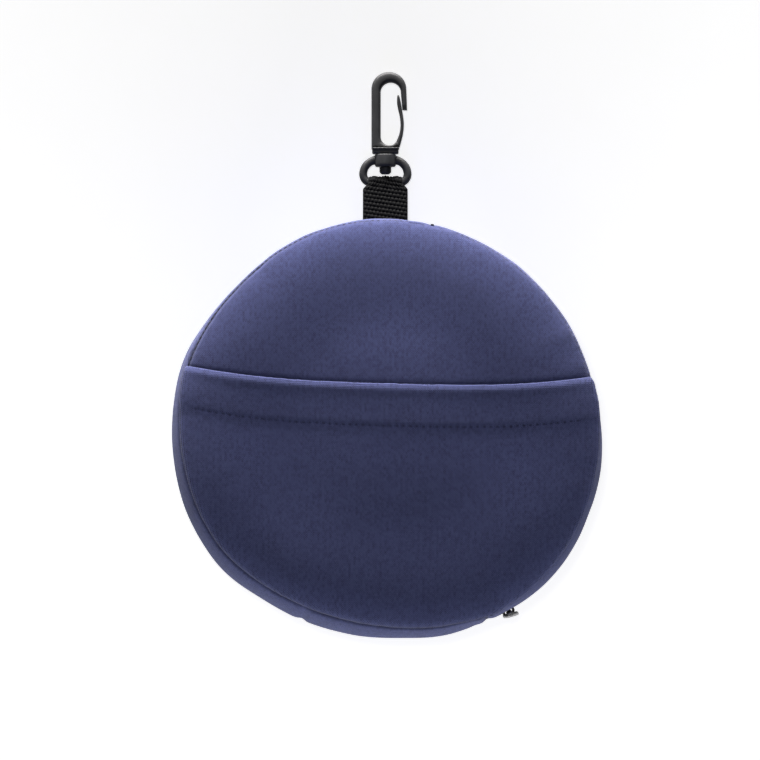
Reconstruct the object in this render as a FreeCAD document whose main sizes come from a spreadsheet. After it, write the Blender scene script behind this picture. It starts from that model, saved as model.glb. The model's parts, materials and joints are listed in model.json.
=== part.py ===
"""A round stuffed travel-pillow pouch: domed front, zipped side gusset, patch pocket and swivel snap hook.

The pouch lies on its flat back, with the origin at the middle of the rest face, +Z up through the
stuffed thickness and +Y towards the snap hook. The curled U-shaped pillow is inside. Millimetres.
"""

import FreeCAD
import Part
import Sketcher
import math
import os
from types import SimpleNamespace

CUT_PAST = 1.0  # how far a cutting shape reaches past what it cuts

# Driving dimensions, in millimetres and degrees
DIMENSIONS = {
    # pouch shell
    "girth_radius": 116.0,  # widest outer radius, half way up the gusset
    "gusset_bulge": 6.0,  # from either seam circle out to the girth
    "back_seam_height": 14.0,
    "gusset_height": 60.0,
    "crown_rise": 14.0,  # from the front seam to the top of the front panel
    "rest_inset": 40.0,  # from the back seam in to the flat patch that the pouch lies on
    "fabric": 2.0,
    "seam_rim": 1.0,  # upright edge of each panel at its seam
    "thread_radius": 0.4,
    "thread_sink": 0.3,  # each thread's middle, from its seam towards the panel
    "thread_stand": 0.42,  # and out from the seam
    "thread_web_gap": 2.0,  # degrees of back thread left out beside the webbing, in all
    # patch pocket
    "pocket_slack": 2.6,  # room between pocket and front panel at the crown
    "pocket_mouth": 27.0,  # the mouth's Y
    "hem_depth": 21.0,
    "hem_gap": 0.2,  # hem layer above the front panel
    "hem_inset": 10.0,  # how far inside the seam the hem layer ends
    "stitch_length": 2.4,
    "stitch_pitch": 3.6,
    "stitch_width": 0.5,
    "stitch_rise": 0.35,
    "stitch_seat": 0.02,  # stitches stand clear of the cloth by this
    # zip
    "zip_start": -62.0,  # where the slot in the gusset begins, from +X
    "zip_sweep": 140.0,
    "slot_half": 6.0,  # half the slot between the two gusset strips
    "tape_thickness": 0.8,
    "tape_reach": 15.0,  # how far each tape goes from the zip's centre line
    "tape_tail": 1.0,  # degrees of tape past each end of the slot
    "slit_half": 0.6,  # half the gap between the coils, which the slider's post runs in
    "coil_width": 2.6,
    "coil_thickness": 2.2,
    "coil_inset": 3.0,  # degrees from each end of the slot to the coil
    "stop_sweep": 1.2,  # degrees
    "stop_rise": 0.4,  # stops stand this far above the coil
    # slider and pull
    "slider_length": 11.0,
    "slider_play": 0.5,  # slider to top stop, along the girth
    "slider_plate": 1.2,
    "slider_clearance": 0.3,
    "slider_back_clearance": 0.5,
    "flange_width": 1.0,
    "post_half": 0.4,
    "post_sweep": 1.5,  # degrees
    "bridge_half_length": 3.4,
    "bridge_leg": 1.2,
    "bridge_bar": 1.0,  # square section
    "eye_clearance": 0.3,
    "eye_wall": 1.0,
    "eye_length": 1.6,
    "pull_width": 8.8,
    "pull_neck_half": 1.2,
    "pull_embed": 0.4,  # leaf into the eye's wall
    "pull_shoulder": 5.28,  # eye's centre to where the leaf is at its full width
    "pull_length": 22.0,
    "pull_thickness": 1.4,
    "pull_twist": -19.5,  # how the leaf is turned from the line of the zip
    # webbing loop
    "web_width": 25.0,
    "web_ply": 1.35,
    "web_root_radius": 1.5,
    "web_seam_gap": 0.3,
    "web_root_drop": 1.0,  # root below the back seam
    "web_length": 28.7,  # root to the ring's bar
    "web_eye_width": 16.0,
    "web_taper_start": 6.5,  # from the bar back to where the web narrows
    "web_taper_end": 3.0,
    # swivel ring
    "clip_offset": -1.5,  # the clip's X
    "clip_height": 5.8,  # swivel axis above the rest plane
    "ring_section": 4.5,  # diameter
    "ring_bar_half": 7.5,
    "ring_corner": 4.9,  # centre-line radius beside the bar
    "ring_shoulder": 7.9,  # centre-line radius beside the barrel
    "ring_clearance": 0.3,
    "barrel_diameter": 11.1,
    "barrel_start": 9.0,  # from the bar's centre line
    "barrel_length": 6.9,
    # snap hook, from the ring's bar along the swivel axis
    "stem_diameter": 5.0,
    "bore_clearance": 0.1,  # radial
    "swivel_play": 0.3,  # axial, each end
    "head_diameter": 6.6,
    "head_start": 4.8,
    "head_tip": 3.2,  # diameter of the head's end
    "collar_width": 14.8,
    "collar_depth": 8.4,
    "collar_length": 3.4,
    "collar_lip": 0.4,
    "hook_depth": 6.2,
    "limb_left": -7.8,
    "limb_width": 5.2,
    "window_width": 11.0,
    "window_foot": 1.4,  # collar to the window
    "window_length": 35.1,
    "window_corner": 2.5,
    "bow_thickness": 6.0,
    "bow_right": 11.3,
    "nose_drop": 9.8,  # nose tip below the centre of the bow's inner face
    "nose_width": 2.3,
    "nose_lean": 0.4,  # the tip's outer corner past the bow
    # gate tongue
    "gate_clearance": 0.25,
    "gate_root_radius": 1.3,
    "gate_pivot_x": 7.2,
    "gate_pivot_rise": 2.4,  # pivot above the collar
    "gate_depth": 4.6,
    "gate_thickness": 2.0,
    "gate_root_lean": 1.2,  # tongue's outer face from the pivot
    "gate_wedge": 2.4,  # width where the wedge end starts
    "gate_bulge": 1.45,
    "gate_run": 19.3,  # pivot to the nose
    "gate_tip_run": 7.9,
    "gate_tip_width": 0.6,
    # pillow inside
    "pillow_hole": 14.0,
    "pillow_sweep": 346.0,
    "pillow_middle": 270.0,  # the middle of the curled pillow, from +X
    "pillow_gap": 3.0,
    "pillow_side_gap": 5.0,
    "pillow_shoulder": 5.0,
    "cover_thickness": 1.2,
}

doc = FreeCAD.newDocument("travel_pillow_pouch")
sheet = doc.addObject("Spreadsheet::Sheet", "Dimensions")
for row, (alias, number) in enumerate(DIMENSIONS.items(), start=1):
    sheet.set(f"A{row}", alias)
    sheet.set(f"B{row}", str(number))
    sheet.setAlias(f"B{row}", alias)
doc.recompute()


class Size:
    """A length or angle worked out from the sheet: its value now, and the expression that keeps it so."""

    def __init__(self, value, text):
        self.value = value
        self.text = text

    def __add__(self, other):
        other = as_size(other)
        return Size(self.value + other.value, f"({self.text} + {other.text})")

    def __sub__(self, other):
        other = as_size(other)
        return Size(self.value - other.value, f"({self.text} - {other.text})")

    def __mul__(self, other):
        other = as_size(other)
        return Size(self.value * other.value, f"({self.text} * {other.text})")

    def __truediv__(self, other):
        other = as_size(other)
        return Size(self.value / other.value, f"({self.text} / {other.text})")

    def __neg__(self):
        return Size(-self.value, f"(0 - {self.text})")


def as_size(number):
    """A plain number as a Size."""
    if isinstance(number, Size):
        return number
    return Size(float(number), f"({float(number):.6f})")


def root(size):
    """The square root of a Size."""
    return Size(math.sqrt(size.value), f"sqrt({size.text})")


def bulge_radius(half_chord, rise):
    """The radius of an arc from its half chord and its rise."""
    return (half_chord * half_chord + rise * rise) / (rise * 2)


d = SimpleNamespace(**{alias: Size(sheet.get(alias), f"Dimensions.{alias}") for alias in DIMENSIONS})

# Sizes that several pieces share
seam_radius = d.girth_radius - d.gusset_bulge
rest_radius = seam_radius - d.rest_inset
gusset_half = d.gusset_height / 2
girth_height = d.back_seam_height + gusset_half
front_seam_height = d.back_seam_height + d.gusset_height
crown_height = front_seam_height + d.crown_rise
gusset_curve = bulge_radius(gusset_half, d.gusset_bulge)
panel_edge = front_seam_height + d.seam_rim
panel_curve = bulge_radius(seam_radius, crown_height - panel_edge)
pocket_crown = crown_height + d.pocket_slack
pocket_curve = bulge_radius(seam_radius, pocket_crown - panel_edge)
tape_face = d.girth_radius - d.fabric
coil_face = tape_face + d.coil_thickness
coil_edge = d.slit_half + d.coil_width
slider_sweep = d.slider_length / d.girth_radius * math.degrees(1)
slider_face = coil_face + d.slider_clearance + d.slider_plate
slider_edge = coil_edge + d.slider_clearance + d.flange_width
eye_hole = d.bridge_bar / math.sqrt(2) + d.eye_clearance
bridge_radius = slider_face + d.slider_clearance + eye_hole + d.eye_wall
bar_radius = d.ring_section / 2
web_hole = bar_radius + d.ring_clearance
web_eye_radius = web_hole + d.web_ply
collar_start = d.barrel_start + d.barrel_length + d.swivel_play
collar_end = collar_start + d.collar_length
gate_pivot_y = collar_end + d.gate_pivot_rise


def placed(x=0.0, y=0.0, z=0.0, turn=0.0, flipped=False):
    """A placement turned about Z, and first turned over about X if flipped."""
    rotation = FreeCAD.Rotation(FreeCAD.Vector(0, 0, 1), turn)
    if flipped:
        rotation = rotation * FreeCAD.Rotation(FreeCAD.Vector(1, 0, 0), 180)
    return FreeCAD.Placement(FreeCAD.Vector(x, y, z), rotation)


slider_angle = (
    d.zip_start.value
    + d.coil_inset.value
    + math.degrees(d.slider_play.value / d.girth_radius.value)
    + slider_sweep.value / 2
)
web_root = FreeCAD.Vector(
    d.clip_offset.value,
    (seam_radius + d.web_seam_gap + d.web_root_radius).value,
    (d.back_seam_height - d.web_root_drop).value,
)
web_slope = math.asin((web_root.z - d.clip_height.value) / d.web_length.value)
clip_place = placed(
    d.clip_offset.value,
    web_root.y + d.web_length.value * math.cos(web_slope),
    d.clip_height.value,
)
girth_place = placed(z=girth_height.value)


def new_body(label, placement):
    """A PartDesign body, named as its sub-part."""
    body = doc.addObject("PartDesign::Body", label)
    body.Label = label
    body.AllowCompound = True
    body.Placement = placement
    return body


def origin_feature(body, role):
    """One of the body's own origin planes or axes."""
    return next(item for item in body.Origin.OriginFeatures if item.Role == role)


def bind(item, prop, size):
    """Set a property now and keep it bound to the sheet."""
    size = as_size(size)
    setattr(item, prop, size.value)
    item.setExpression(prop, size.text)


def fix_point(sketch, edge, point, x, y):
    """Hold a sketch point at x, y from the sketch's origin."""
    for direction, size in (("DistanceX", as_size(x)), ("DistanceY", as_size(y))):
        index = sketch.addConstraint(Sketcher.Constraint(direction, -1, 1, edge, point, size.value))
        sketch.setExpression(f"Constraints[{index}]", size.text)


def new_sketch(body, plane, offset=None):
    """An empty sketch on one of the body's origin planes."""
    sketch = body.newObject("Sketcher::SketchObject", f"{body.Label}_sketch")
    sketch.AttachmentSupport = [(origin_feature(body, plane), "")]
    sketch.MapMode = "FlatFace"
    if offset:
        sketch.AttachmentOffset = offset
    return sketch


def arc_between(start, end, radius):
    """The shorter arc from start to end; a positive radius turns left. Drawn anticlockwise."""
    chord = end - start
    lift = math.sqrt(max(radius * radius - chord.Length**2 / 4, 0.0))
    left = FreeCAD.Vector(-chord.y, chord.x, 0).normalize()
    centre = (start + end) / 2 + left * math.copysign(lift, radius)
    first, last = (start, end) if radius > 0 else (end, start)
    angles = [math.atan2(p.y - centre.y, p.x - centre.x) for p in (first, last)]
    circle = Part.Circle(centre, FreeCAD.Vector(0, 0, 1), abs(radius))
    return Part.ArcOfCircle(circle, *angles)


def add_outline(sketch, corners):
    """A closed outline through corners (x, y).

    A third value in a corner is the radius of the arc to the next one: positive turns left.
    """
    first = sketch.GeometryCount
    count = len(corners)
    points = [FreeCAD.Vector(as_size(c[0]).value, as_size(c[1]).value, 0) for c in corners]
    starts, ends = [], []
    for i, corner in enumerate(corners):
        start, end = points[i], points[(i + 1) % count]
        if len(corner) == 2:
            sketch.addGeometry(Part.LineSegment(start, end))
            starts.append(1)
            ends.append(2)
            continue
        radius = corner[2]
        sketch.addGeometry(arc_between(start, end, radius.value))
        starts.append(1 if radius.value > 0 else 2)
        ends.append(2 if radius.value > 0 else 1)
    for i, corner in enumerate(corners):
        after = (i + 1) % count
        sketch.addConstraint(
            Sketcher.Constraint("Coincident", first + i, ends[i], first + after, starts[after])
        )
        fix_point(sketch, first + i, starts[i], corner[0], corner[1])
        if len(corner) == 3:
            size = corner[2] if corner[2].value > 0 else -corner[2]
            index = sketch.addConstraint(Sketcher.Constraint("Radius", first + i, size.value))
            sketch.setExpression(f"Constraints[{index}]", size.text)


def add_circle(sketch, x, y, radius):
    """A circle in a sketch."""
    centre = FreeCAD.Vector(as_size(x).value, as_size(y).value, 0)
    edge = sketch.addGeometry(Part.Circle(centre, FreeCAD.Vector(0, 0, 1), radius.value))
    fix_point(sketch, edge, 3, x, y)
    index = sketch.addConstraint(Sketcher.Constraint("Radius", edge, radius.value))
    sketch.setExpression(f"Constraints[{index}]", radius.text)


def outline(body, plane, corners, offset=None):
    """A sketch of one closed outline."""
    sketch = new_sketch(body, plane, offset)
    add_outline(sketch, corners)
    return sketch


def revolve(body, sketch, sweep=360.0, midplane=False, cut=False):
    """Turn a sketch about its own upright axis."""
    feature = body.newObject("PartDesign::Groove" if cut else "PartDesign::Revolution", f"{body.Label}_turn")
    feature.Profile = sketch
    feature.ReferenceAxis = (sketch, ["V_Axis"])
    feature.Midplane = midplane
    bind(feature, "Angle", sweep)
    sketch.Visibility = False
    return feature


def pad(body, sketch, thickness, cut=False):
    """Pad a sketch, or cut it away, half to each side of its plane."""
    feature = body.newObject("PartDesign::Pocket" if cut else "PartDesign::Pad", f"{body.Label}_pad")
    feature.Profile = sketch
    feature.SideType = "Symmetric"
    bind(feature, "Length", thickness)
    sketch.Visibility = False
    return feature


def wall_radius(height, inset=0.0):
    """The gusset's radius at a height from the girth, inset from its outer face."""
    return d.girth_radius - inset - gusset_curve + root(gusset_curve * gusset_curve - height * height)


def cap_height(crown, curve, radius):
    """The height of a domed cap at a radius."""
    return crown - curve + root(curve * curve - radius * radius)


def wall_band(low, high, outer, inner):
    """The section of a band that follows the gusset's curve between two insets and two heights."""
    return [
        (wall_radius(low, outer), low, gusset_curve),
        (wall_radius(high, outer), high),
        (wall_radius(high, inner), high, -gusset_curve),
        (wall_radius(low, inner), low),
    ]


def rectangle(left, right, low, high):
    """The four corners of a rectangle."""
    return [(left, low), (right, low), (right, high), (left, high)]


def make_front_panel():
    """Domed front panel, sewn to the gusset's front edge."""
    body = new_body("front_panel", placed())
    inner_radius = seam_radius - d.fabric
    inner_crown = crown_height - d.fabric
    inner_curve = bulge_radius(inner_radius, inner_crown - front_seam_height)
    corners = [
        (seam_radius, front_seam_height),
        (seam_radius, panel_edge, panel_curve),
        (0.0, crown_height),
        (0.0, inner_crown, -inner_curve),
        (inner_radius, front_seam_height),
    ]
    revolve(body, outline(body, "XZ_Plane", corners))


def make_back_panel():
    """Back panel: a flat rest patch that turns up to the back seam."""
    body = new_body("back_panel", placed())
    inner_radius = seam_radius - d.fabric
    edge = d.back_seam_height - d.seam_rim
    outer_curve = bulge_radius(seam_radius - rest_radius, edge)
    inner_curve = bulge_radius(inner_radius - rest_radius, d.back_seam_height - d.fabric)
    corners = [
        (0.0, 0.0),
        (rest_radius, 0.0, outer_curve),
        (seam_radius, edge),
        (seam_radius, d.back_seam_height),
        (inner_radius, d.back_seam_height, -inner_curve),
        (rest_radius, d.fabric),
        (0.0, d.fabric),
    ]
    revolve(body, outline(body, "XZ_Plane", corners))


def zip_place(start, sweep, flipped):
    """The place of a piece that is revolved from start over sweep, or its twin below the girth."""
    turn = start + sweep if flipped else start
    return girth_place * placed(turn=turn.value, flipped=flipped)


def make_gusset():
    """Side gusset: one plain length, and the two strips that the zip is sewn between."""
    plain = new_body("gusset_fixed", girth_place * placed(turn=(d.zip_start + d.zip_sweep).value))
    section = wall_band(-gusset_half, gusset_half, as_size(0.0), d.fabric)
    revolve(plain, outline(plain, "XZ_Plane", section), as_size(360.0) - d.zip_sweep)
    for label, flipped in (("gusset_front_strip", False), ("gusset_back_strip", True)):
        strip = new_body(label, zip_place(d.zip_start, d.zip_sweep, flipped))
        section = wall_band(d.slot_half, gusset_half, as_size(0.0), d.fabric)
        revolve(strip, outline(strip, "XZ_Plane", section), d.zip_sweep)


def make_pocket():
    """Patch pocket over the lower front, with a folded hem behind its mouth."""
    body = new_body("pocket_panel", placed())
    hem_reach = seam_radius - d.hem_inset
    hem_floor = crown_height + d.hem_gap
    hem_top = pocket_crown + d.fabric / 2
    hem = [
        (hem_reach, cap_height(hem_floor, panel_curve, hem_reach)),
        (hem_reach, cap_height(hem_top, pocket_curve, hem_reach), pocket_curve),
        (0.0, hem_top),
        (0.0, hem_floor, -panel_curve),
    ]
    revolve(body, outline(body, "XZ_Plane", hem))
    far = d.girth_radius * 2
    cut_depth = (pocket_crown + d.fabric) * 3
    hem_foot = d.pocket_mouth - d.hem_depth
    below_hem = [(-far, -far), (far, -far), (far, hem_foot), (-far, hem_foot)]
    pad(body, outline(body, "XY_Plane", below_hem), cut_depth, cut=True)
    panel = [
        (seam_radius, panel_edge),
        (seam_radius, panel_edge + d.fabric, pocket_curve),
        (0.0, pocket_crown + d.fabric),
        (0.0, pocket_crown, -pocket_curve),
    ]
    revolve(body, outline(body, "XZ_Plane", panel))
    above_mouth = [(-far, d.pocket_mouth), (far, d.pocket_mouth), (far, far), (-far, far)]
    pad(body, outline(body, "XY_Plane", above_mouth), cut_depth, cut=True)


def make_hem_stitches():
    """One row of stitches along the foot of the hem, on the pocket's domed face."""
    hem_foot = d.pocket_mouth - d.hem_depth
    row_radius = root(pocket_curve * pocket_curve - hem_foot * hem_foot) + d.stitch_seat
    reach = seam_radius - d.hem_inset
    row_sweep = 2 * math.degrees(math.asin(reach.value / row_radius.value))
    count = int(math.radians(row_sweep) * row_radius.value / d.stitch_pitch.value) + 1
    place = placed(y=hem_foot.value, z=(pocket_crown + d.fabric - pocket_curve).value)
    tilt = FreeCAD.Placement(FreeCAD.Vector(), FreeCAD.Rotation(FreeCAD.Vector(0, 1, 0), -row_sweep / 2))
    body = new_body("pocket_hem_stitches", place * tilt)
    half_length = d.stitch_length / 2
    rise = row_radius + d.stitch_rise
    side = [(-half_length, row_radius), (half_length, row_radius), (half_length, rise), (-half_length, rise)]
    stitch = pad(body, outline(body, "XZ_Plane", side), d.stitch_width)
    row = body.newObject("PartDesign::PolarPattern", "stitch_row")
    row.Originals = [stitch]
    row.Axis = (origin_feature(body, "Y_Axis"), [""])
    row.Angle = row_sweep
    row.Occurrences = count
    body.Tip = row


def make_seam_threads():
    """The sewing thread that shows in each seam's groove; the back one stops at the webbing."""
    web_gap = math.degrees(d.web_width.value / seam_radius.value) + d.thread_web_gap.value
    rows = (
        ("front_seam_thread", front_seam_height + d.thread_sink, 0.0),
        ("back_seam_thread", d.back_seam_height - d.thread_sink, web_gap),
    )
    for label, height, gap in rows:
        thread = doc.addObject("Part::Torus", label)
        thread.Label = label
        bind(thread, "Radius1", seam_radius + d.thread_stand)
        bind(thread, "Radius2", d.thread_radius)
        thread.Angle3 = 360.0 - gap
        thread.Placement = placed(z=height.value, turn=90.0 + gap / 2)


def make_zip_chain():
    """Two tapes with a coil on each, which the slider's post runs between."""
    tape_start = d.zip_start - d.tape_tail
    tape_sweep = d.zip_sweep + d.tape_tail * 2
    coil_start = d.zip_start + d.coil_inset
    coil_sweep = d.zip_sweep - d.coil_inset * 2
    for side, flipped in (("front", False), ("back", True)):
        tape = new_body(f"zip_tape_{side}", zip_place(tape_start, tape_sweep, flipped))
        section = wall_band(d.slit_half, d.tape_reach, d.fabric, d.fabric + d.tape_thickness)
        revolve(tape, outline(tape, "XZ_Plane", section), tape_sweep)
        coil = new_body(f"zip_coil_{side}", zip_place(coil_start, coil_sweep, flipped))
        section = chain_section(d.slit_half, coil_edge, coil_face)
        revolve(coil, outline(coil, "XZ_Plane", section), coil_sweep)


def chain_section(low, high, face):
    """A section that stands on the tape's outer face and has an upright outer side."""
    return [
        (wall_radius(low, d.fabric), low),
        (face, low),
        (face, high),
        (wall_radius(high, d.fabric), high, -gusset_curve),
    ]


def make_zip_stops():
    """Two top stops, one on each tape, and the bottom stop across both."""
    face = coil_face + d.stop_rise
    top_start = d.zip_start + d.coil_inset - d.stop_sweep
    top = new_body("zip_top_stops", zip_place(top_start, d.stop_sweep, False))
    stop = revolve(top, outline(top, "XZ_Plane", chain_section(d.slit_half, coil_edge, face)), d.stop_sweep)
    twin = top.newObject("PartDesign::Mirrored", "stop_twin")
    twin.Originals = [stop]
    twin.MirrorPlane = (origin_feature(top, "XY_Plane"), [""])
    top.Tip = twin
    bottom_start = d.zip_start + d.zip_sweep - d.coil_inset
    bottom = new_body("zip_bottom_stop", zip_place(bottom_start, d.stop_sweep, False))
    section = chain_section(-coil_edge, coil_edge, face)
    revolve(bottom, outline(bottom, "XZ_Plane", section), d.stop_sweep)


def make_slider():
    """Zip slider: outer plate with flanges, post, inner plate and the bridge that holds the pull."""
    body = new_body("zip_slider_body", girth_place * placed(turn=slider_angle))
    under_plate = slider_face - d.slider_plate
    flange_tip = tape_face + d.slider_clearance
    flange_side = slider_edge - d.flange_width
    shell = [
        (flange_tip, -slider_edge),
        (slider_face, -slider_edge),
        (slider_face, slider_edge),
        (flange_tip, slider_edge),
        (flange_tip, flange_side),
        (under_plate, flange_side),
        (under_plate, -flange_side),
        (flange_tip, -flange_side),
    ]
    revolve(body, outline(body, "XZ_Plane", shell), slider_sweep, midplane=True)
    inner_top = tape_face - d.tape_thickness - d.slider_back_clearance
    inner_bottom = inner_top - d.slider_plate
    embed = d.slider_plate / 2
    post = rectangle(inner_top - embed, under_plate + embed, -d.post_half, d.post_half)
    revolve(body, outline(body, "XZ_Plane", post), d.post_sweep, midplane=True)
    inner = rectangle(inner_bottom, inner_top, -slider_edge, slider_edge)
    revolve(body, outline(body, "XZ_Plane", inner), slider_sweep, midplane=True)
    bar_half = d.bridge_bar / 2
    inside = d.bridge_half_length - d.bridge_leg
    bridge = [
        (slider_face - embed, -d.bridge_half_length),
        (bridge_radius + bar_half, -d.bridge_half_length),
        (bridge_radius + bar_half, d.bridge_half_length),
        (slider_face - embed, d.bridge_half_length),
        (slider_face - embed, inside),
        (bridge_radius - bar_half, inside),
        (bridge_radius - bar_half, -inside),
        (slider_face - embed, -inside),
    ]
    pad(body, outline(body, "XY_Plane", bridge), d.bridge_bar)


def make_pull():
    """Pull tab: an eye round the bridge's bar and a rounded leaf that hangs from it."""
    angle = math.radians(slider_angle)
    x = bridge_radius.value * math.cos(angle)
    y = bridge_radius.value * math.sin(angle)
    body = new_body("zip_pull_tab", placed(x, y, girth_height.value, slider_angle))
    eye_outer = eye_hole + d.eye_wall
    eye = new_sketch(body, "XZ_Plane")
    add_circle(eye, 0.0, 0.0, eye_outer)
    add_circle(eye, 0.0, 0.0, eye_hole)
    pad(body, eye, d.eye_length)
    half = d.pull_width / 2
    neck = d.pull_neck_half
    top = eye_outer - d.pull_embed
    round_start = d.pull_length - half
    leaf = [
        (neck, -top),
        (-neck, -top),
        (-neck, -(eye_outer + d.eye_wall)),
        (-half, -d.pull_shoulder),
        (-half, -round_start, half),
        (0.0, -d.pull_length, half),
        (half, -round_start),
        (half, -d.pull_shoulder),
        (neck, -(eye_outer + d.eye_wall)),
    ]
    twist = FreeCAD.Placement(
        FreeCAD.Vector(), FreeCAD.Rotation(FreeCAD.Vector(0, 1, 0), d.pull_twist.value)
    )
    pad(body, outline(body, "YZ_Plane", leaf, twist), d.pull_thickness)


def make_web_loop():
    """Doubled webbing from the back seam round the ring's bar, narrowed where it bunches in the ring."""
    slope = FreeCAD.Rotation(FreeCAD.Vector(1, 0, 0), -math.degrees(web_slope))
    body = new_body("web_loop", FreeCAD.Placement(web_root, slope))
    small = d.web_root_radius
    large = web_eye_radius
    lean = (large - small) / d.web_length
    upright = root(as_size(1.0) - lean * lean)
    side = new_sketch(body, "YZ_Plane")
    add_outline(
        side,
        [
            (-small * lean, -small * upright),
            (d.web_length - large * lean, -large * upright, large),
            (d.web_length + large, 0.0, large),
            (d.web_length - large * lean, large * upright),
            (-small * lean, small * upright, small),
            (-small, 0.0, small),
        ],
    )
    add_circle(side, d.web_length, 0.0, web_hole)
    pad(body, side, d.web_width)
    half = d.web_width / 2
    eye_half = d.web_eye_width / 2
    edge = half + CUT_PAST
    end = d.web_length + large + CUT_PAST
    taper_start = d.web_length - d.web_taper_start
    taper_end = d.web_length - d.web_taper_end
    notch = outline(
        body,
        "XY_Plane",
        [(edge, taper_start), (edge, end), (eye_half, end), (eye_half, taper_end), (half, taper_start)],
    )
    cut = pad(body, notch, large * 3, cut=True)
    other_side = body.newObject("PartDesign::Mirrored", "other_side")
    other_side.Originals = [cut]
    other_side.MirrorPlane = (origin_feature(body, "YZ_Plane"), [""])
    body.Tip = other_side


def make_swivel_ring():
    """Ring of round section with a bored barrel across its top."""
    body = new_body("swivel_ring", clip_place)
    side = d.ring_bar_half + d.ring_corner
    top = d.ring_corner + d.ring_shoulder
    top_half = side - d.ring_shoulder
    path = outline(
        body,
        "XY_Plane",
        [
            (0.0, 0.0),
            (d.ring_bar_half, 0.0, d.ring_corner),
            (side, d.ring_corner, d.ring_shoulder),
            (top_half, top),
            (-top_half, top, d.ring_shoulder),
            (-side, d.ring_corner, d.ring_corner),
            (-d.ring_bar_half, 0.0),
        ],
    )
    section = new_sketch(body, "YZ_Plane")
    add_circle(section, 0.0, 0.0, bar_radius)
    ring = body.newObject("PartDesign::AdditivePipe", "ring")
    ring.Profile = section
    ring.Spine = (path, [f"Edge{i + 1}" for i in range(path.GeometryCount)])
    barrel = rectangle(
        as_size(0.0), d.barrel_diameter / 2, d.barrel_start, d.barrel_start + d.barrel_length
    )
    revolve(body, outline(body, "XY_Plane", barrel))
    bore_radius = d.stem_diameter / 2 + d.bore_clearance
    past = d.barrel_start + d.barrel_length + CUT_PAST
    bore = rectangle(as_size(0.0), bore_radius, d.barrel_start - CUT_PAST, past)
    revolve(body, outline(body, "XY_Plane", bore), cut=True)


def make_hook():
    """Snap hook: headed stem, collar and an open bow with a nose for the gate."""
    body = new_body("hook_body", clip_place)
    limb_right = d.limb_left + d.limb_width
    window_right = limb_right + d.window_width
    window_low = collar_end + d.window_foot
    inner_radius = d.window_width / 2
    inner_y = window_low + d.window_length - inner_radius
    outer_radius = (d.bow_right - d.limb_left) / 2
    outer_y = inner_y + inner_radius + d.bow_thickness - outer_radius
    nose_y = inner_y - d.nose_drop
    nose_right = d.bow_right + d.nose_lean
    embed = d.collar_lip
    foot_right = d.gate_pivot_x + d.gate_root_radius
    bow = [
        (d.limb_left, collar_end - embed),
        (foot_right, collar_end - embed),
        (foot_right, gate_pivot_y),
        (foot_right - d.gate_root_radius * 2, gate_pivot_y),
        (limb_right + d.window_corner * 2, window_low),
        (limb_right + d.window_corner, window_low, -d.window_corner),
        (limb_right, window_low + d.window_corner),
        (limb_right, inner_y, -inner_radius),
        (limb_right + inner_radius, inner_y + inner_radius, -inner_radius),
        (window_right, inner_y),
        (nose_right - d.nose_width, nose_y),
        (nose_right, nose_y),
        (d.bow_right, outer_y, outer_radius),
        (d.bow_right - outer_radius, outer_y + outer_radius, outer_radius),
        (d.limb_left, outer_y),
    ]
    pad(body, outline(body, "XY_Plane", bow), d.hook_depth)
    half = d.collar_width / 2
    collar = rectangle(-half, half, collar_start, collar_end)
    pad(body, outline(body, "XY_Plane", collar), d.collar_depth)
    lip = rectangle(-half - d.collar_lip, half + d.collar_lip, collar_end - d.collar_lip * 2, collar_end)
    pad(body, outline(body, "XY_Plane", lip), d.collar_depth + d.collar_lip * 2)
    head_end = d.barrel_start - d.swivel_play
    head_radius = d.head_diameter / 2
    stem_radius = d.stem_diameter / 2
    stem = [
        (0.0, d.head_start),
        (d.head_tip / 2, d.head_start),
        (head_radius, d.head_start + (d.head_diameter - d.head_tip) / 2),
        (head_radius, head_end),
        (stem_radius, head_end),
        (stem_radius, collar_start + embed),
        (0.0, collar_start + embed),
    ]
    revolve(body, outline(body, "XY_Plane", stem))
    socket = new_sketch(body, "XY_Plane")
    add_circle(socket, d.gate_pivot_x, gate_pivot_y, d.gate_root_radius + d.gate_clearance)
    pad(body, socket, d.hook_depth * 2, cut=True)


def make_gate():
    """Sprung gate: a thin bowed tongue with a wedge end that shuts against the nose from inside."""
    body = new_body("hook_gate", clip_place)
    pivot_disc = new_sketch(body, "XY_Plane")
    add_circle(pivot_disc, d.gate_pivot_x, gate_pivot_y, d.gate_root_radius)
    pad(body, pivot_disc, d.gate_depth)
    curve = bulge_radius(d.gate_run / 2, d.gate_bulge)
    nose_slope = (
        d.bow_right + d.nose_lean - d.nose_width - (d.limb_left + d.limb_width + d.window_width)
    ) / d.nose_drop
    run_end = gate_pivot_y + d.gate_run
    inner_y = collar_end + d.window_foot + d.window_length - d.window_width / 2
    nose_face = d.limb_left + d.limb_width + d.window_width + nose_slope * (inner_y - run_end)
    outside = nose_face - d.gate_clearance
    tip_y = run_end + d.gate_tip_run
    tip_right = outside - nose_slope * d.gate_tip_run - d.gate_clearance * 2
    root_right = d.gate_pivot_x + d.gate_root_lean
    root_left = root_right - d.gate_thickness
    tongue = [
        (root_right, gate_pivot_y, curve),
        (outside, run_end),
        (tip_right, tip_y),
        (tip_right - d.gate_tip_width, tip_y),
        (outside - d.gate_wedge, run_end + d.gate_thickness),
        (outside - d.gate_thickness, run_end, -curve),
        (root_left, gate_pivot_y),
    ]
    pad(body, outline(body, "XY_Plane", tongue), d.gate_depth)


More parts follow.
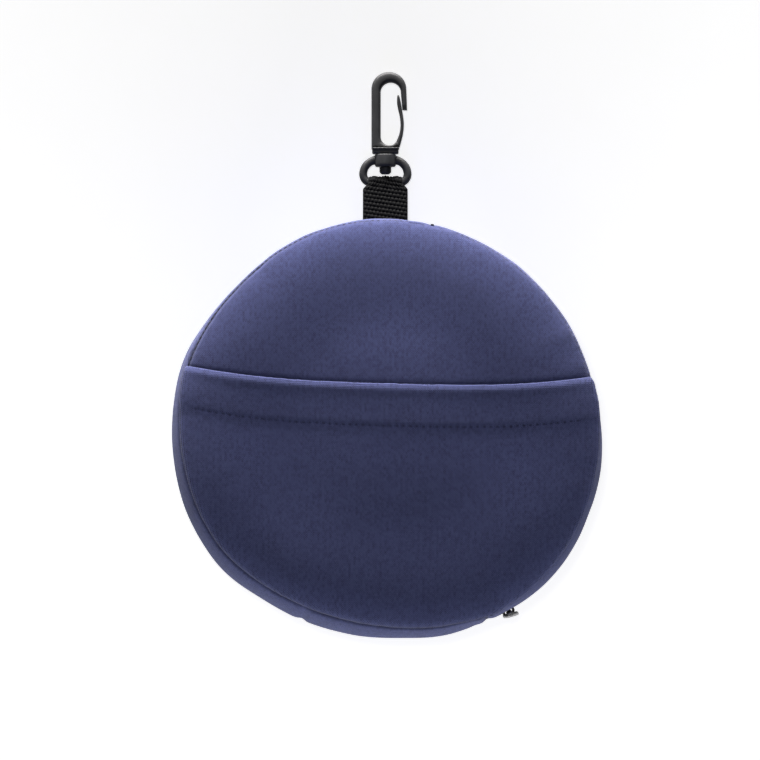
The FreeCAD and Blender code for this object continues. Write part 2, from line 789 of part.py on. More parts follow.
def pillow_section(inset):
    """The curled pillow's section, drawn in by an inset on every side."""
    left = d.pillow_hole + inset
    right = seam_radius - d.fabric - d.pillow_side_gap - inset
    floor = d.fabric + d.pillow_gap + inset
    crown = crown_height - d.fabric - d.pillow_gap - inset
    return [
        (left, floor),
        (rest_radius - d.pillow_shoulder, floor),
        (right, d.back_seam_height + d.pillow_shoulder + inset),
        (right, front_seam_height - d.pillow_shoulder - inset),
        (rest_radius - d.pillow_shoulder, crown - d.pillow_shoulder),
        (left, crown),
    ]


def make_pillow():
    """The U-shaped pillow curled into the pouch: a foam core in its own cover."""
    wall_angle = d.cover_thickness / d.pillow_hole * math.degrees(1)
    start = d.pillow_middle.value - d.pillow_sweep.value / 2
    core_sweep = d.pillow_sweep - wall_angle * 2
    core = new_body("pillow_core", placed(turn=start + wall_angle.value))
    revolve(core, outline(core, "XZ_Plane", pillow_section(d.cover_thickness)), core_sweep)
    cover = new_body("pillow_cover", placed(turn=d.pillow_middle.value))
    revolve(cover, outline(cover, "XZ_Plane", pillow_section(as_size(0.0))), d.pillow_sweep, midplane=True)
    hollow = outline(cover, "XZ_Plane", pillow_section(d.cover_thickness))
    revolve(cover, hollow, core_sweep, midplane=True, cut=True)


make_front_panel()
make_back_panel()
make_gusset()
make_pocket()
make_hem_stitches()
make_seam_threads()
make_zip_chain()
make_zip_stops()
make_slider()
make_pull()
make_web_loop()
make_swivel_ring()
make_hook()
make_gate()
make_pillow()
doc.recompute()

broken = [item.Name for item in doc.Objects if {"Invalid", "Error"} & set(item.State)]
if broken:
    raise RuntimeError(f"objects that failed: {broken}")

sub_parts = [item for item in doc.Objects if item.TypeId in ("PartDesign::Body", "Part::Torus")]
for part in sub_parts:
    if part.Shape.isNull() or not part.Shape.isValid():
        raise RuntimeError(f"{part.Label} has no valid shape")

os.makedirs("parts", exist_ok=True)
for part in sub_parts:
    part.Shape.exportStep(f"parts/{part.Label}.step")
    box = part.Shape.BoundBox
    print(
        f"{part.Label}: {len(part.Shape.Solids)} solids, {part.Shape.Volume:.1f} mm3,"
        f" x {box.XMin:.1f}..{box.XMax:.1f} y {box.YMin:.1f}..{box.YMax:.1f} z {box.ZMin:.1f}..{box.ZMax:.1f}"
    )
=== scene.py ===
"""Round stuffed travel-pillow pouch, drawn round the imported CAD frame, in metres."""

import json
import math

import bmesh
import bpy
import numpy as np
from mathutils import Matrix, Vector
from mathutils.bvhtree import BVHTree

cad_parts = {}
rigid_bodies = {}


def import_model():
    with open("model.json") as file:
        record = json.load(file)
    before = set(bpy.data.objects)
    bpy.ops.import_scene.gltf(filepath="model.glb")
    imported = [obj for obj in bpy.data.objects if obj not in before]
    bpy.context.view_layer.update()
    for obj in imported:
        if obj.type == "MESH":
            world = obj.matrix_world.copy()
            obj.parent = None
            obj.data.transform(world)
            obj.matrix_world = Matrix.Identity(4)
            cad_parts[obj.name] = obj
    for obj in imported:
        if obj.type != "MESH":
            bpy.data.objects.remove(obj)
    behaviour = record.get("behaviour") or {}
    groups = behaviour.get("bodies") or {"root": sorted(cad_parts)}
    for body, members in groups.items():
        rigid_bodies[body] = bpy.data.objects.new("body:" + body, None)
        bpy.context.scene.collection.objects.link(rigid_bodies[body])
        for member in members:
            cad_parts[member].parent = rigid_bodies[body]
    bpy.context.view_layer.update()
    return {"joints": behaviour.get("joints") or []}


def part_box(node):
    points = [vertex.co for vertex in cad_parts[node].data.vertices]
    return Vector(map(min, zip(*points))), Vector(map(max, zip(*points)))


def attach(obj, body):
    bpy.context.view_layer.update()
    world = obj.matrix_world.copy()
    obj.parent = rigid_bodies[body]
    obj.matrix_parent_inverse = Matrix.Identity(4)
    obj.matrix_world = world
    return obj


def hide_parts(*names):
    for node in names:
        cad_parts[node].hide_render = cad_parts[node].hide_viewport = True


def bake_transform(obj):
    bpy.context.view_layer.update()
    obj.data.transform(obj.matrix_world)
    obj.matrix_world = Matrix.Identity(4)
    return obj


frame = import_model()

MM = 0.001
TAU = 2 * math.pi

# Places that the CAD gives
joint_at = {joint["name"]: Vector(joint["pos_m"]) for joint in frame["joints"]}
SEAM_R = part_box("front_panel")[1].x
FRONT_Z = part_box("front_panel")[0].z
CROWN_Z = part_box("front_panel")[1].z
BACK_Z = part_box("back_panel")[1].z
GIRTH_R = -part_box("gusset_fixed")[0].x
GIRTH_Z = joint_at["zip_travel"].z
SLOT_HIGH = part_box("gusset_front_strip")[0].z
SLOT_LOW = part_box("gusset_back_strip")[1].z
TAPE_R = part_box("zip_tape_front")[1].x
COIL_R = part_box("zip_coil_front")[1].x
SLIDER_ANGLE = math.atan2(joint_at["pull_swing"].y, joint_at["pull_swing"].x)
BAR = joint_at["ring_swing"]
ZIP_START = math.radians(-62)
ZIP_END = math.radians(78)
REST_R = 70 * MM  # the flat patch that the pouch lies on

# The pouch's cloth
FABRIC = 1.3 * MM
LEAN = math.radians(232)  # the side where the stuffing's lean lets the gusset show from above
LEAN_INSET = 8.0 * MM  # how far the front seam draws in on that side
SEAM_SHIFT = Vector((2.3 * MM, 2.9 * MM))  # the front panel's middle, moved away from that side
MOUTH_Y = 24.4 * MM  # pocket mouth on the centre line
MOUTH_LEAN = -0.030
MOUTH_SAG = 7.1 * MM  # the mouth's ends stand this far above its middle
HEM_DEPTH = 21.5 * MM
STITCH_PITCH = 3.6 * MM
PANEL_CELLS = 224  # squares across a round panel's grid
SIM_CELLS = 36
SIM_ROWS = 12


# ---------------------------------------------------------------- numbers and grids


def smooth(x):
    """0 to 1 with soft ends."""
    x = np.clip(x, 0, 1)
    return x * x * (3 - 2 * x)


def waves(angle, counts, phases):
    """An uneven ripple round the pouch, about -1 to 1."""
    return sum(np.cos(c * angle + p) for c, p in zip(counts, phases)) / math.sqrt(len(counts))


def turn_of(angle):
    """The same angle from -180 to 180 degrees."""
    return (angle + math.pi) % TAU - math.pi


def near(angle, place, width):
    """A soft bump in an angle, 1 at its place."""
    return np.exp(-((turn_of(angle - place) / width) ** 2))


def disc_grid(cells):
    """A square grid mapped to the unit disc, and its rim's indices, anticlockwise from -45 degrees."""
    line = np.linspace(-1, 1, cells + 1)
    a, b = np.meshgrid(line, line, indexing="ij")
    wide = np.abs(a) > np.abs(b)
    safe_a = np.where(a == 0, 1, a)
    safe_b = np.where(b == 0, 1, b)
    radius = np.where(wide, a, b)
    angle = np.where(wide, math.pi / 4 * b / safe_a, math.pi / 2 - math.pi / 4 * a / safe_b)
    points = np.stack([radius * np.cos(angle), radius * np.sin(angle)], axis=-1)
    n = cells
    rim = [(n, j) for j in range(n)] + [(i, n) for i in range(n, 0, -1)]
    rim += [(0, j) for j in range(n, 0, -1)] + [(i, 0) for i in range(n)]
    return points, np.array([i * (n + 1) + j for i, j in rim])


def rim_angles(cells):
    """The angles of a disc grid's rim."""
    return -math.pi / 4 + np.arange(4 * cells) * (math.pi / 2 / cells)


def grid_faces(rows, columns, wrap_rows=False, wrap_columns=False):
    """Quads of a grid."""
    i, j = np.meshgrid(
        np.arange(rows if wrap_rows else rows - 1),
        np.arange(columns if wrap_columns else columns - 1),
        indexing="ij",
    )
    after_i, after_j = (i + 1) % rows, (j + 1) % columns
    quads = [i * columns + j, i * columns + after_j, after_i * columns + after_j, after_i * columns + j]
    return np.stack(quads, axis=-1).reshape(-1, 4)


def grid_normals(points, wrap_columns=False):
    """Unit normals of a grid of points."""
    down = np.gradient(points, axis=0)
    if wrap_columns:
        across = (np.roll(points, -1, axis=1) - np.roll(points, 1, axis=1)) / 2
    else:
        across = np.gradient(points, axis=1)
    normals = np.cross(down, across)
    length = np.linalg.norm(normals, axis=-1, keepdims=True)
    return normals / np.maximum(length, 1e-12)


def spline_weights(count, places, wrap=False):
    """A matrix that reads a row of values at fractional places, smoothly."""
    base = np.floor(places).astype(int)
    t = places - base
    weights = (
        -t / 2 + t**2 - t**3 / 2,
        1 - 2.5 * t**2 + 1.5 * t**3,
        t / 2 + 2 * t**2 - 1.5 * t**3,
        -(t**2) / 2 + t**3 / 2,
    )
    matrix = np.zeros((len(places), count))
    for k, weight in enumerate(weights):
        index = base - 1 + k
        index = index % count if wrap else np.clip(index, 0, count - 1)
        np.add.at(matrix, (np.arange(len(places)), index), weight)
    return matrix


# ---------------------------------------------------------------- objects


def new_object(name, points, faces, material, uv=None, recalculate=True):
    """A smooth mesh object. uv holds U, V and, on cloth, how much painted shade each point takes in a seam or
    crease.
    """
    points = np.asarray(points, float).reshape(-1, 3)
    mesh = bpy.data.meshes.new(name)
    mesh.from_pydata(points.tolist(), [], [list(f) for f in faces])
    if recalculate:
        shape = bmesh.new()
        shape.from_mesh(mesh)
        bmesh.ops.recalc_face_normals(shape, faces=shape.faces)
        shape.to_mesh(mesh)
        shape.free()
    if uv is not None:
        uv = np.asarray(uv, float).reshape(len(points), -1)
        corners = np.empty(len(mesh.loops), dtype=np.int32)
        mesh.loops.foreach_get("vertex_index", corners)
        layer = mesh.uv_layers.new(name="UVMap")
        layer.data.foreach_set("uv", uv[corners, :2].ravel())
        if uv.shape[1] > 2:
            mesh.attributes.new("painted_shade", "FLOAT", "POINT").data.foreach_set("value", uv[:, 2])
    mesh.shade_smooth()
    mesh.set_sharp_from_angle(angle=math.radians(70))
    mesh.materials.append(material)
    made = bpy.data.objects.new(name, mesh)
    bpy.context.scene.collection.objects.link(made)
    return made


def place_piece(obj, body, slot, *nodes):
    """Hide the CAD nodes that the piece stands for and hang it on the body it rides on; slot is not used."""
    if nodes:
        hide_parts(*nodes)
    if body:
        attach(obj, body)
    return obj


def cloth_shell(points, thickness, uv, wrap_columns=False, roll=4):
    """A closed cloth layer under a grid of outer points, its row ends rolled round."""
    rows, columns = points.shape[:2]
    normals = grid_normals(points, wrap_columns)
    thickness = np.broadcast_to(thickness, (rows, columns))[..., None]
    inner = points - normals * thickness

    def rolled(edge, beside):
        """Points round an end of the cloth, from its outer face to its inner one."""
        out = points[edge] - points[beside]
        out /= np.maximum(np.linalg.norm(out, axis=-1, keepdims=True), 1e-12)
        half = thickness[edge] / 2
        turns = np.linspace(0, math.pi, roll + 2)[1:-1]
        inward, outward = normals[edge] * half, out * half
        return [points[edge] - inward * (1 - math.cos(a)) + outward * math.sin(a) for a in turns]

    last = rolled(-1, -2)
    first = rolled(0, 1)
    loop = np.concatenate([points, np.array(last), inner[::-1], np.array(first[::-1])])
    uv_loop = np.concatenate([uv, np.repeat(uv[-1:], roll, 0), uv[::-1], np.repeat(uv[:1], roll, 0)])
    faces = grid_faces(len(loop), columns, wrap_rows=True, wrap_columns=wrap_columns).tolist()
    if not wrap_columns:
        for column in (0, columns - 1):
            left = list(range(rows)) + [rows + k for k in range(roll // 2)]
            right = list(range(2 * rows + roll - 1, rows + roll - 1, -1))
            right += [rows + roll - 1 - k for k in range(roll // 2)]
            ring = [(a * columns + column, b * columns + column) for a, b in zip(left, right)]
            for (a, b), (c, d) in zip(ring, ring[1:]):
                faces.append([a, b, d, c])
            tail = [2 * rows + roll + k for k in range(roll)]
            low = [right[0] * columns + column] + [t * columns + column for t in tail]
            low.append(left[0] * columns + column)
            for k in range(len(low) // 2 - 1):
                faces.append([low[k], low[k + 1], low[-2 - k], low[-1 - k]])
    return loop, faces, uv_loop


def disc_shell(points, thickness, rim, uv):
    """A closed cloth layer under a disc grid of outer points."""
    size = points.shape[0]
    normals = grid_normals(points)
    count = size * size
    outer = grid_faces(size, size)
    both = np.concatenate([points.reshape(-1, 3), (points - normals * thickness).reshape(-1, 3)])
    sides = np.stack([rim, np.roll(rim, -1), np.roll(rim, -1) + count, rim + count], axis=-1)
    faces = np.concatenate([outer, outer[:, ::-1] + count, sides])
    return both, faces, np.concatenate([uv, uv])


def sweep(path, across, up, profile, closed=False):
    """A section carried along a path. profile holds one section of (across, up), or one for each place."""
    path = np.asarray(path, float)
    across, up = (np.broadcast_to(np.asarray(v, float), path.shape) for v in (across, up))
    profile = np.asarray(profile, float)
    if profile.ndim == 2:
        profile = np.broadcast_to(profile, (len(path), *profile.shape))
    points = path[:, None] + across[:, None] * profile[..., :1] + up[:, None] * profile[..., 1:]
    count = profile.shape[1]
    faces = grid_faces(len(path), count, wrap_rows=closed, wrap_columns=True).tolist()
    points = points.reshape(-1, 3)
    if not closed:
        ends = np.array([points[:count].mean(0), points[-count:].mean(0)])
        total = len(points)
        points = np.concatenate([points, ends])
        for k in range(count):
            after = (k + 1) % count
            faces.append([k, after, total])
            faces.append([total - count + after, total - count + k, total + 1])
    return points, faces


def path_frame(path, up, closed=False):
    """Unit sideways and upward directions along a path, upright to it."""
    path = np.asarray(path, float)
    if closed:
        ahead = np.roll(path, -1, axis=0) - np.roll(path, 1, axis=0)
    else:
        ahead = np.gradient(path, axis=0)
    ahead /= np.linalg.norm(ahead, axis=-1, keepdims=True)
    up = np.broadcast_to(np.asarray(up, float), path.shape)
    side = np.cross(ahead, up)
    side /= np.linalg.norm(side, axis=-1, keepdims=True)
    return side, np.cross(side, ahead)


def oval(half_width, half_height, power=2.0, count=24):
    """A rounded section: power 2 is an ellipse, and a higher one is squarer."""
    t = np.arange(count) * TAU / count
    c, s = np.cos(t), np.sin(t)
    x = half_width * np.sign(c) * np.abs(c) ** (2 / power)
    y = half_height * np.sign(s) * np.abs(s) ** (2 / power)
    return np.stack([x, y], axis=-1)


def joined(parts):
    """Several (points, faces) as one."""
    points, faces, start = [], [], 0
    for part_points, part_faces in parts:
        part_points = np.asarray(part_points, float).reshape(-1, 3)
        points.append(part_points)
        faces += [[i + start for i in face] for face in part_faces]
        start += len(part_points)
    return np.concatenate(points), faces


def arc(centre, radius, start, end, count):
    """Points of an arc in a plane, in degrees."""
    t = np.radians(np.linspace(start, end, count))
    return np.stack([centre[0] + radius * np.cos(t), centre[1] + radius * np.sin(t)], axis=-1)


def resample(points, count):
    """The same line with evenly spaced points."""
    points = np.asarray(points, float)
    lengths = np.concatenate([[0], np.cumsum(np.linalg.norm(np.diff(points, axis=0), axis=1))])
    places = np.linspace(0, lengths[-1], count)
    return np.stack([np.interp(places, lengths, points[:, k]) for k in range(points.shape[1])], axis=-1)


def stitch(middle, along, up, length, radius, rise, count=7, sides=8):
    """One stitch of thread that arches out of the cloth and back in."""
    t = np.linspace(-1, 1, count)
    lift = rise * (1 - t**2) - radius * 0.8 * t**4
    path = middle + along * (t * length / 2)[:, None] + up * lift[:, None]
    side, upward = path_frame(path, up)
    thin = radius * (1 - 0.35 * t**4)
    profile = oval(1, 1, 2, sides)[None] * thin[:, None, None]
    return sweep(path, side, upward, profile)


# ---------------------------------------------------------------- materials


class Shader:
    """A node material in the making."""

    def __init__(self, name):
        self.material = bpy.data.materials.new(name)
        self.material.use_nodes = True
        self.tree = self.material.node_tree
        self.shader = self.tree.nodes["Principled BSDF"]

    def node(self, kind, inputs=None, **settings):
        """A node with its settings and inputs."""
        made = self.tree.nodes.new(kind)
        for key, value in settings.items():
            setattr(made, key, value)
        for key, value in (inputs or {}).items():
            self.feed(made.inputs[key], value)
        return made

    def feed(self, socket, value):
        """Link a socket, or set its value."""
        if isinstance(value, bpy.types.NodeSocket):
            self.tree.links.new(value, socket)
        else:
            socket.default_value = value

    def calc(self, operation, a, b=0.0, c=0.0):
        """The result of a Math node."""
        return self.node("ShaderNodeMath", {0: a, 1: b, 2: c}, operation=operation).outputs[0]

    def noise(self, vector, scale, detail=2.0, roughness=0.5):
        """A noise value from 0 to 1."""
        inputs = {"Vector": vector, "Scale": scale, "Detail": detail, "Roughness": roughness}
        return self.node("ShaderNodeTexNoise", inputs).outputs["Fac"]

    def stretched(self, vector, scale):
        """A vector scaled differently along its axes."""
        made = self.node("ShaderNodeVectorMath", {0: vector, 1: scale}, operation="MULTIPLY")
        return made.outputs[0]

    def combine(self, x, y, z=0.0):
        """A vector of three values."""
        return self.node("ShaderNodeCombineXYZ", {"X": x, "Y": y, "Z": z}).outputs[0]

    def weighted(self, base, *terms):
        """A base value plus each value times its weight."""
        for value, weight in terms:
            base = self.calc("MULTIPLY_ADD", value, weight, base)
        return base

    def ramp(self, value, stops):
        """Colours along a value, as (place, colour)."""
        made = self.node("ShaderNodeValToRGB", {"Fac": value})
        elements = made.color_ramp.elements
        while len(elements) < len(stops):
            elements.new(0.5)
        for element, (place, colour) in zip(elements, stops):
            element.position = place
            element.color = (*colour, 1)
        return made.outputs["Color"]

    def mix(self, share, a, b, blend="MIX"):
        """Two colours mixed."""
        made = self.node("ShaderNodeMix", {"Factor": share}, data_type="RGBA", blend_type=blend)
        self.feed(made.inputs[6], a if isinstance(a, bpy.types.NodeSocket) else (*a, 1))
        self.feed(made.inputs[7], b if isinstance(b, bpy.types.NodeSocket) else (*b, 1))
        return made.outputs[2]

    def uv(self):
        """The piece's UV, in metres, as a vector and its two parts."""
        vector = self.node("ShaderNodeTexCoord").outputs["UV"]
        parts = self.node("ShaderNodeSeparateXYZ", {0: vector})
        return vector, parts.outputs[0], parts.outputs[1]

    def place(self):
        """The piece's own coordinates, in metres."""
        return self.node("ShaderNodeTexCoord").outputs["Object"]

    def bump(self, height, distance, strength=1.0, below=None):
        """A bump, on another one if given."""
        inputs = {"Height": height, "Distance": distance, "Strength": strength}
        if below is not None:
            inputs["Normal"] = below
        return self.node("ShaderNodeBump", inputs).outputs[0]

    def finish(self, **values):
        """Set or link the main shader's sockets."""
        for key, value in values.items():
            socket = self.shader.inputs[key.replace("_", " ")]
            if isinstance(value, tuple) and len(value) == 3 and socket.type == "RGBA":
                value = (*value, 1)
            self.feed(socket, value)
        return self.material


def knit_material(name, deep, light, sheen=0.12):
    """Fine heathered jersey: columns of V-shaped stitches, in metres of UV, with painted shade between the
    loops and along seams and creases.
    """
    wale, course = 1.28 * MM, 0.98 * MM
    s = Shader(name)
    vector, x, y = s.uv()
    drift = s.calc("MULTIPLY_ADD", s.noise(vector, 55.0), 0.5 * MM, -0.25 * MM)
    column = s.calc("DIVIDE", s.calc("ADD", x, drift), wale)
    row = s.calc("DIVIDE", y, course)
    leg = s.calc("MULTIPLY", s.calc("ABSOLUTE", s.calc("SUBTRACT", s.calc("FRACT", column), 0.5)), 2.0)
    phase = s.calc("MULTIPLY_ADD", leg, -0.85, row)
    saw = s.calc("ABSOLUTE", s.calc("MULTIPLY_ADD", s.calc("FRACT", phase), 2.0, -1.0))
    yarn = s.calc("SMOOTH_MIN", s.calc("SUBTRACT", 1.0, saw), 0.75, 0.3)
    across = s.calc("MULTIPLY_ADD", leg, 2.0, -1.0)
    strand = s.calc("SUBTRACT", 1.0, s.calc("MULTIPLY", across, across))
    rounded = s.calc("POWER", s.calc("MAXIMUM", strand, 0.0), 0.6)
    height = s.calc("MULTIPLY", rounded, s.calc("MULTIPLY_ADD", yarn, 0.6, 0.4))
    cell = s.combine(s.calc("FLOOR", column), s.calc("FLOOR", phase))
    random = s.node("ShaderNodeTexWhiteNoise", {"Vector": cell}, noise_dimensions="3D").outputs["Value"]
    streak = s.noise(s.stretched(vector, (1.0, 0.35, 1.0)), 950.0, 2.0)
    fibre = s.noise(vector, 2600.0, 2.0)
    mottle = s.noise(vector, 90.0, 3.0)
    # The loop relief in the tone is painted shade, darker in the gaps between loops; the random stitch tone,
    # streaks, fibre and mottle are the yarn's own heather.
    tone = s.weighted(-0.175, (height, 0.95), (random, 0.22), (streak, 0.24), (fibre, 0.12), (mottle, 0.11))
    middle = tuple((a + b) / 2 for a, b in zip(deep, light))
    colour = s.ramp(tone, [(0.26, deep), (0.5, middle), (0.74, light)])
    # Painted shade: the point attribute mixes the colour towards half the deep tone in seam grooves, the
    # crevice above the pocket mouth, the hem's needle dimples and the zip's ends.
    painted_shade = s.node("ShaderNodeAttribute", attribute_name="painted_shade").outputs["Fac"]
    shade = tuple(c * 0.5 for c in deep)
    colour = s.mix(s.calc("MINIMUM", painted_shade, 1.0), colour, shade)
    fuzz = s.bump(fibre, 0.05 * MM, 0.5)
    normal = s.bump(height, 0.35 * MM, 0.8, fuzz)
    normal = s.bump(mottle, 0.35 * MM, 0.25, normal)
    rough = s.calc("MULTIPLY_ADD", height, -0.1, 0.97)
    tint = (0.72, 0.74, 0.9)
    return s.finish(
        Base_Color=colour, Roughness=rough, Normal=normal, Specular_IOR_Level=0.18,
        Sheen_Weight=sheen, Sheen_Roughness=0.45, Sheen_Tint=tint,
    )


def thread_material(name, deep, light, pitch=0.9 * MM):
    """Twisted sewing thread."""
    s = Shader(name)
    place = s.place()
    wave = {"Vector": place, "Scale": 0.5 / pitch, "Distortion": 3.0, "Detail": 1.0}
    twist = s.node("ShaderNodeTexWave", wave).outputs["Fac"]
    fibre = s.noise(place, 3000.0)
    colour = s.ramp(twist, [(0.15, deep), (0.85, light)])
    normal = s.bump(twist, 0.08 * MM, 0.8, s.bump(fibre, 0.03 * MM, 0.5))
    rough = s.calc("MULTIPLY_ADD", fibre, 0.2, 0.6)
    return s.finish(Base_Color=colour, Roughness=rough, Normal=normal, Specular_IOR_Level=0.3)


def webbing_material():
    """Black woven webbing: fine filaments that run along each rib."""
    s = Shader("webbing_black")
    vector = s.uv()[0]
    filament = s.noise(s.stretched(vector, (0.25, 1.0, 1.0)), 4200.0, 2.0)
    dust = s.noise(vector, 800.0, 3.0)
    tone = s.weighted(0.0, (filament, 0.7), (dust, 0.3))
    deep, middle, light = (0.0005, 0.0005, 0.0008), (0.0013, 0.0014, 0.0018), (0.0055, 0.0057, 0.007)
    colour = s.ramp(tone, [(0.3, deep), (0.55, middle), (0.8, light)])
    normal = s.bump(filament, 0.12 * MM, 0.7)
    rough = s.calc("MULTIPLY_ADD", filament, 0.25, 0.55)
    return s.finish(Base_Color=colour, Roughness=rough, Normal=normal, Specular_IOR_Level=0.05)


def plastic_material(name, deep, light, roughness, grain=0.04 * MM):
    """Moulded plastic with a fine spark-eroded grain, random scuffs, and colour lighter on sharp convex
    edges.
    """
    s = Shader(name)
    place = s.place()
    fine = s.noise(place, 1900.0, 3.0)
    cloud = s.noise(place, 140.0, 3.0)
    scuff = s.calc("POWER", s.noise(s.stretched(place, (1.0, 0.3, 1.0)), 900.0, 4.0, 0.7), 3.0)
    edge = s.node("ShaderNodeNewGeometry").outputs["Pointiness"]
    # Colour made lighter on sharp convex edges, from the surface's pointiness.
    convex_edge_lightening = s.calc("MAXIMUM", s.calc("MULTIPLY_ADD", edge, 3.0, -1.5), 0.0)
    tone = s.weighted(0.1, (cloud, 0.5), (scuff, 0.5), (convex_edge_lightening, 1.0))
    colour = s.ramp(tone, [(0.2, deep), (0.9, light)])
    normal = s.bump(fine, grain, 0.6)
    rough = s.weighted(roughness - 0.1, (fine, 0.14), (cloud, 0.1))
    return s.finish(Base_Color=colour, Roughness=rough, Normal=normal, Specular_IOR_Level=0.3)


def tape_material():
    """Woven zip tape: a fine herringbone."""
    s = Shader("zip_tape_weave")
    vector, x, y = s.uv()
    thread, turn = 0.45 * MM, 3.2 * MM
    zigzag = s.calc("ABSOLUTE", s.calc("SUBTRACT", s.calc("FRACT", s.calc("DIVIDE", y, turn)), 0.5))
    slant = s.weighted(0.0, (x, 1 / thread), (zigzag, turn / thread))
    rib = s.calc("ABSOLUTE", s.calc("SINE", s.calc("MULTIPLY", slant, math.pi)))
    fibre = s.noise(vector, 2500.0)
    tone = s.weighted(0.0, (rib, 0.7), (fibre, 0.3))
    colour = s.ramp(tone, [(0.2, (0.006, 0.0065, 0.012)), (0.9, (0.022, 0.024, 0.045))])
    normal = s.bump(rib, 0.1 * MM, 0.8, s.bump(fibre, 0.04 * MM, 0.5))
    rough = s.calc("MULTIPLY_ADD", fibre, 0.2, 0.65)
    return s.finish(Base_Color=colour, Roughness=rough, Normal=normal, Specular_IOR_Level=0.3)


def metal_material(name, deep, light, roughness):
    """Plated die-cast metal with fine tumbling marks."""
    s = Shader(name)
    place = s.place()
    marks = s.noise(s.stretched(place, (1.0, 1.0, 0.2)), 1500.0, 3.0)
    cloud = s.noise(place, 200.0, 2.0)
    colour = s.ramp(s.weighted(0.0, (marks, 0.6), (cloud, 0.4)), [(0.3, deep), (0.75, light)])
    normal = s.bump(marks, 0.02 * MM, 0.6)
    rough = s.calc("MULTIPLY_ADD", marks, 0.2, roughness)
    return s.finish(Base_Color=colour, Roughness=rough, Normal=normal, Metallic=1.0)


def foam_material():
    """Open-cell memory foam."""
    s = Shader("memory_foam")
    place = s.place()
    cells = s.node("ShaderNodeTexVoronoi", {"Vector": place, "Scale": 900.0})
    pores = s.calc("MINIMUM", s.calc("MULTIPLY", cells.outputs["Distance"], 1.6), 1.0)
    cloud = s.noise(place, 60.0, 3.0)
    tone = s.weighted(0.0, (pores, 0.5), (cloud, 0.5))
    colour = s.ramp(tone, [(0.2, (0.42, 0.4, 0.34)), (0.8, (0.68, 0.65, 0.56))])
    normal = s.bump(pores, 0.3 * MM, 0.6)
    rough = s.calc("MULTIPLY_ADD", pores, -0.1, 0.95)
    return s.finish(Base_Color=colour, Roughness=rough, Normal=normal, Specular_IOR_Level=0.2)


def floor_material():
    """Plain pale studio floor."""
    s = Shader("studio_floor")
    grain = s.noise(s.place(), 30.0, 2.0)
    colour = s.ramp(grain, [(0.3, (0.79, 0.79, 0.79)), (0.7, (0.81, 0.81, 0.81))])
    white = (1.0, 1.0, 1.0)
    return s.finish(
        Base_Color=colour, Roughness=0.9, Specular_IOR_Level=0.1,
        Emission_Color=white, Emission_Strength=0.725,
    )


knit = knit_material("navy_jersey", (0.0046, 0.0060, 0.0175), (0.058, 0.068, 0.173))
lining_knit = knit_material("pillow_jersey", (0.018, 0.02, 0.05), (0.07, 0.075, 0.16), 0.1)
navy_thread = thread_material("navy_thread", (0.006, 0.007, 0.015), (0.022, 0.025, 0.055))
zip_thread = thread_material("zip_thread", (0.005, 0.005, 0.008), (0.02, 0.02, 0.03))
webbing = webbing_material()
clip_plastic = plastic_material("clip_plastic", (0.0058, 0.0061, 0.0068), (0.024, 0.0253, 0.0285), 0.56)
enamel_tones = (0.006, 0.006, 0.007), (0.03, 0.03, 0.032)
nylon_tones = (0.006, 0.006, 0.009), (0.03, 0.03, 0.04)
slider_enamel = plastic_material("slider_enamel", *enamel_tones, 0.28, 0.015 * MM)
coil_nylon = plastic_material("coil_nylon", *nylon_tones, 0.3, 0.01 * MM)
tape_weave = tape_material()
pull_plating = metal_material("pull_plating", (0.12, 0.12, 0.125), (0.25, 0.25, 0.255), 0.34)
foam = foam_material()


# ---------------------------------------------------------------- the pouch's shape


# Bulges of the stuffed outline: where in degrees, how far in mm, how wide in radians
BULGES = ((165, 1.5, 0.2), (216, 1.5, 0.25), (285, 0.9, 0.22), (135, -1.3, 0.22), (316, 1.0, 0.22))


def outline_wave(angle):
    """How far the stuffed outline stands from a true circle."""
    oval_part = 1.95 * MM * np.cos(2 * (angle + math.radians(21)))
    three_part = 1.7 * MM * np.cos(3 * (angle + math.radians(35)))
    local = sum(size * MM * near(angle, math.radians(place), width) for place, size, width in BULGES)
    return oval_part + three_part + local


def in_zip(angle, margin=0.0):
    """1 along the zip, softly 0 beyond its ends."""
    middle = (ZIP_START + ZIP_END) / 2
    half = (ZIP_END - ZIP_START) / 2
    away = np.abs(turn_of(angle - middle)) - half - margin
    return smooth(-away / math.radians(6))


def chain_wave(angle):
    """How far the zip chain stands from its circle: little, because the slider has to run along it."""
    fade = 1 - 0.8 * near(angle, ZIP_END, math.radians(12))
    return np.clip(outline_wave(angle), -0.9 * MM, 0.15 * MM) * fade


def girth_wave(angle):
    """How far the pouch's widest line stands from its circle."""
    zone = in_zip(angle)
    return outline_wave(angle) * (1 - zone) + chain_wave(angle) * zone


def around(angle, radius, height):
    """Points at a radius and height."""
    return np.stack(np.broadcast_arrays(radius * np.cos(angle), radius * np.sin(angle), height), axis=-1)


def front_seam(angle):
    """The front seam's line, which follows the outline and draws in where the gusset shows."""
    dip = 0.5 * MM * waves(angle, (3, 5, 8), (0.4, 2.1, 4.0))
    facing = np.cos(angle - LEAN)
    shows = (facing + np.sqrt(facing**2 + 0.02)) / 2
    shows *= 1 - smooth(turn_of(angle - math.radians(286)) / math.radians(26))
    inset = 1.6 * MM + LEAN_INSET * shows
    return around(angle, GIRTH_R + girth_wave(angle) - inset, FRONT_Z + dip)


def back_seam(angle):
    """The back seam's line."""
    return around(angle, SEAM_R + 0.5 * outline_wave(angle), BACK_Z + 0 * angle)


def polar(disc):
    """Shares of the way from a panel's middle to its rim, closer together near the rim, and angles."""
    radius = np.hypot(disc[..., 0], disc[..., 1])
    return 0.35 * radius + 0.65 * np.sin(math.pi / 2 * radius), np.arctan2(disc[..., 1], disc[..., 0])


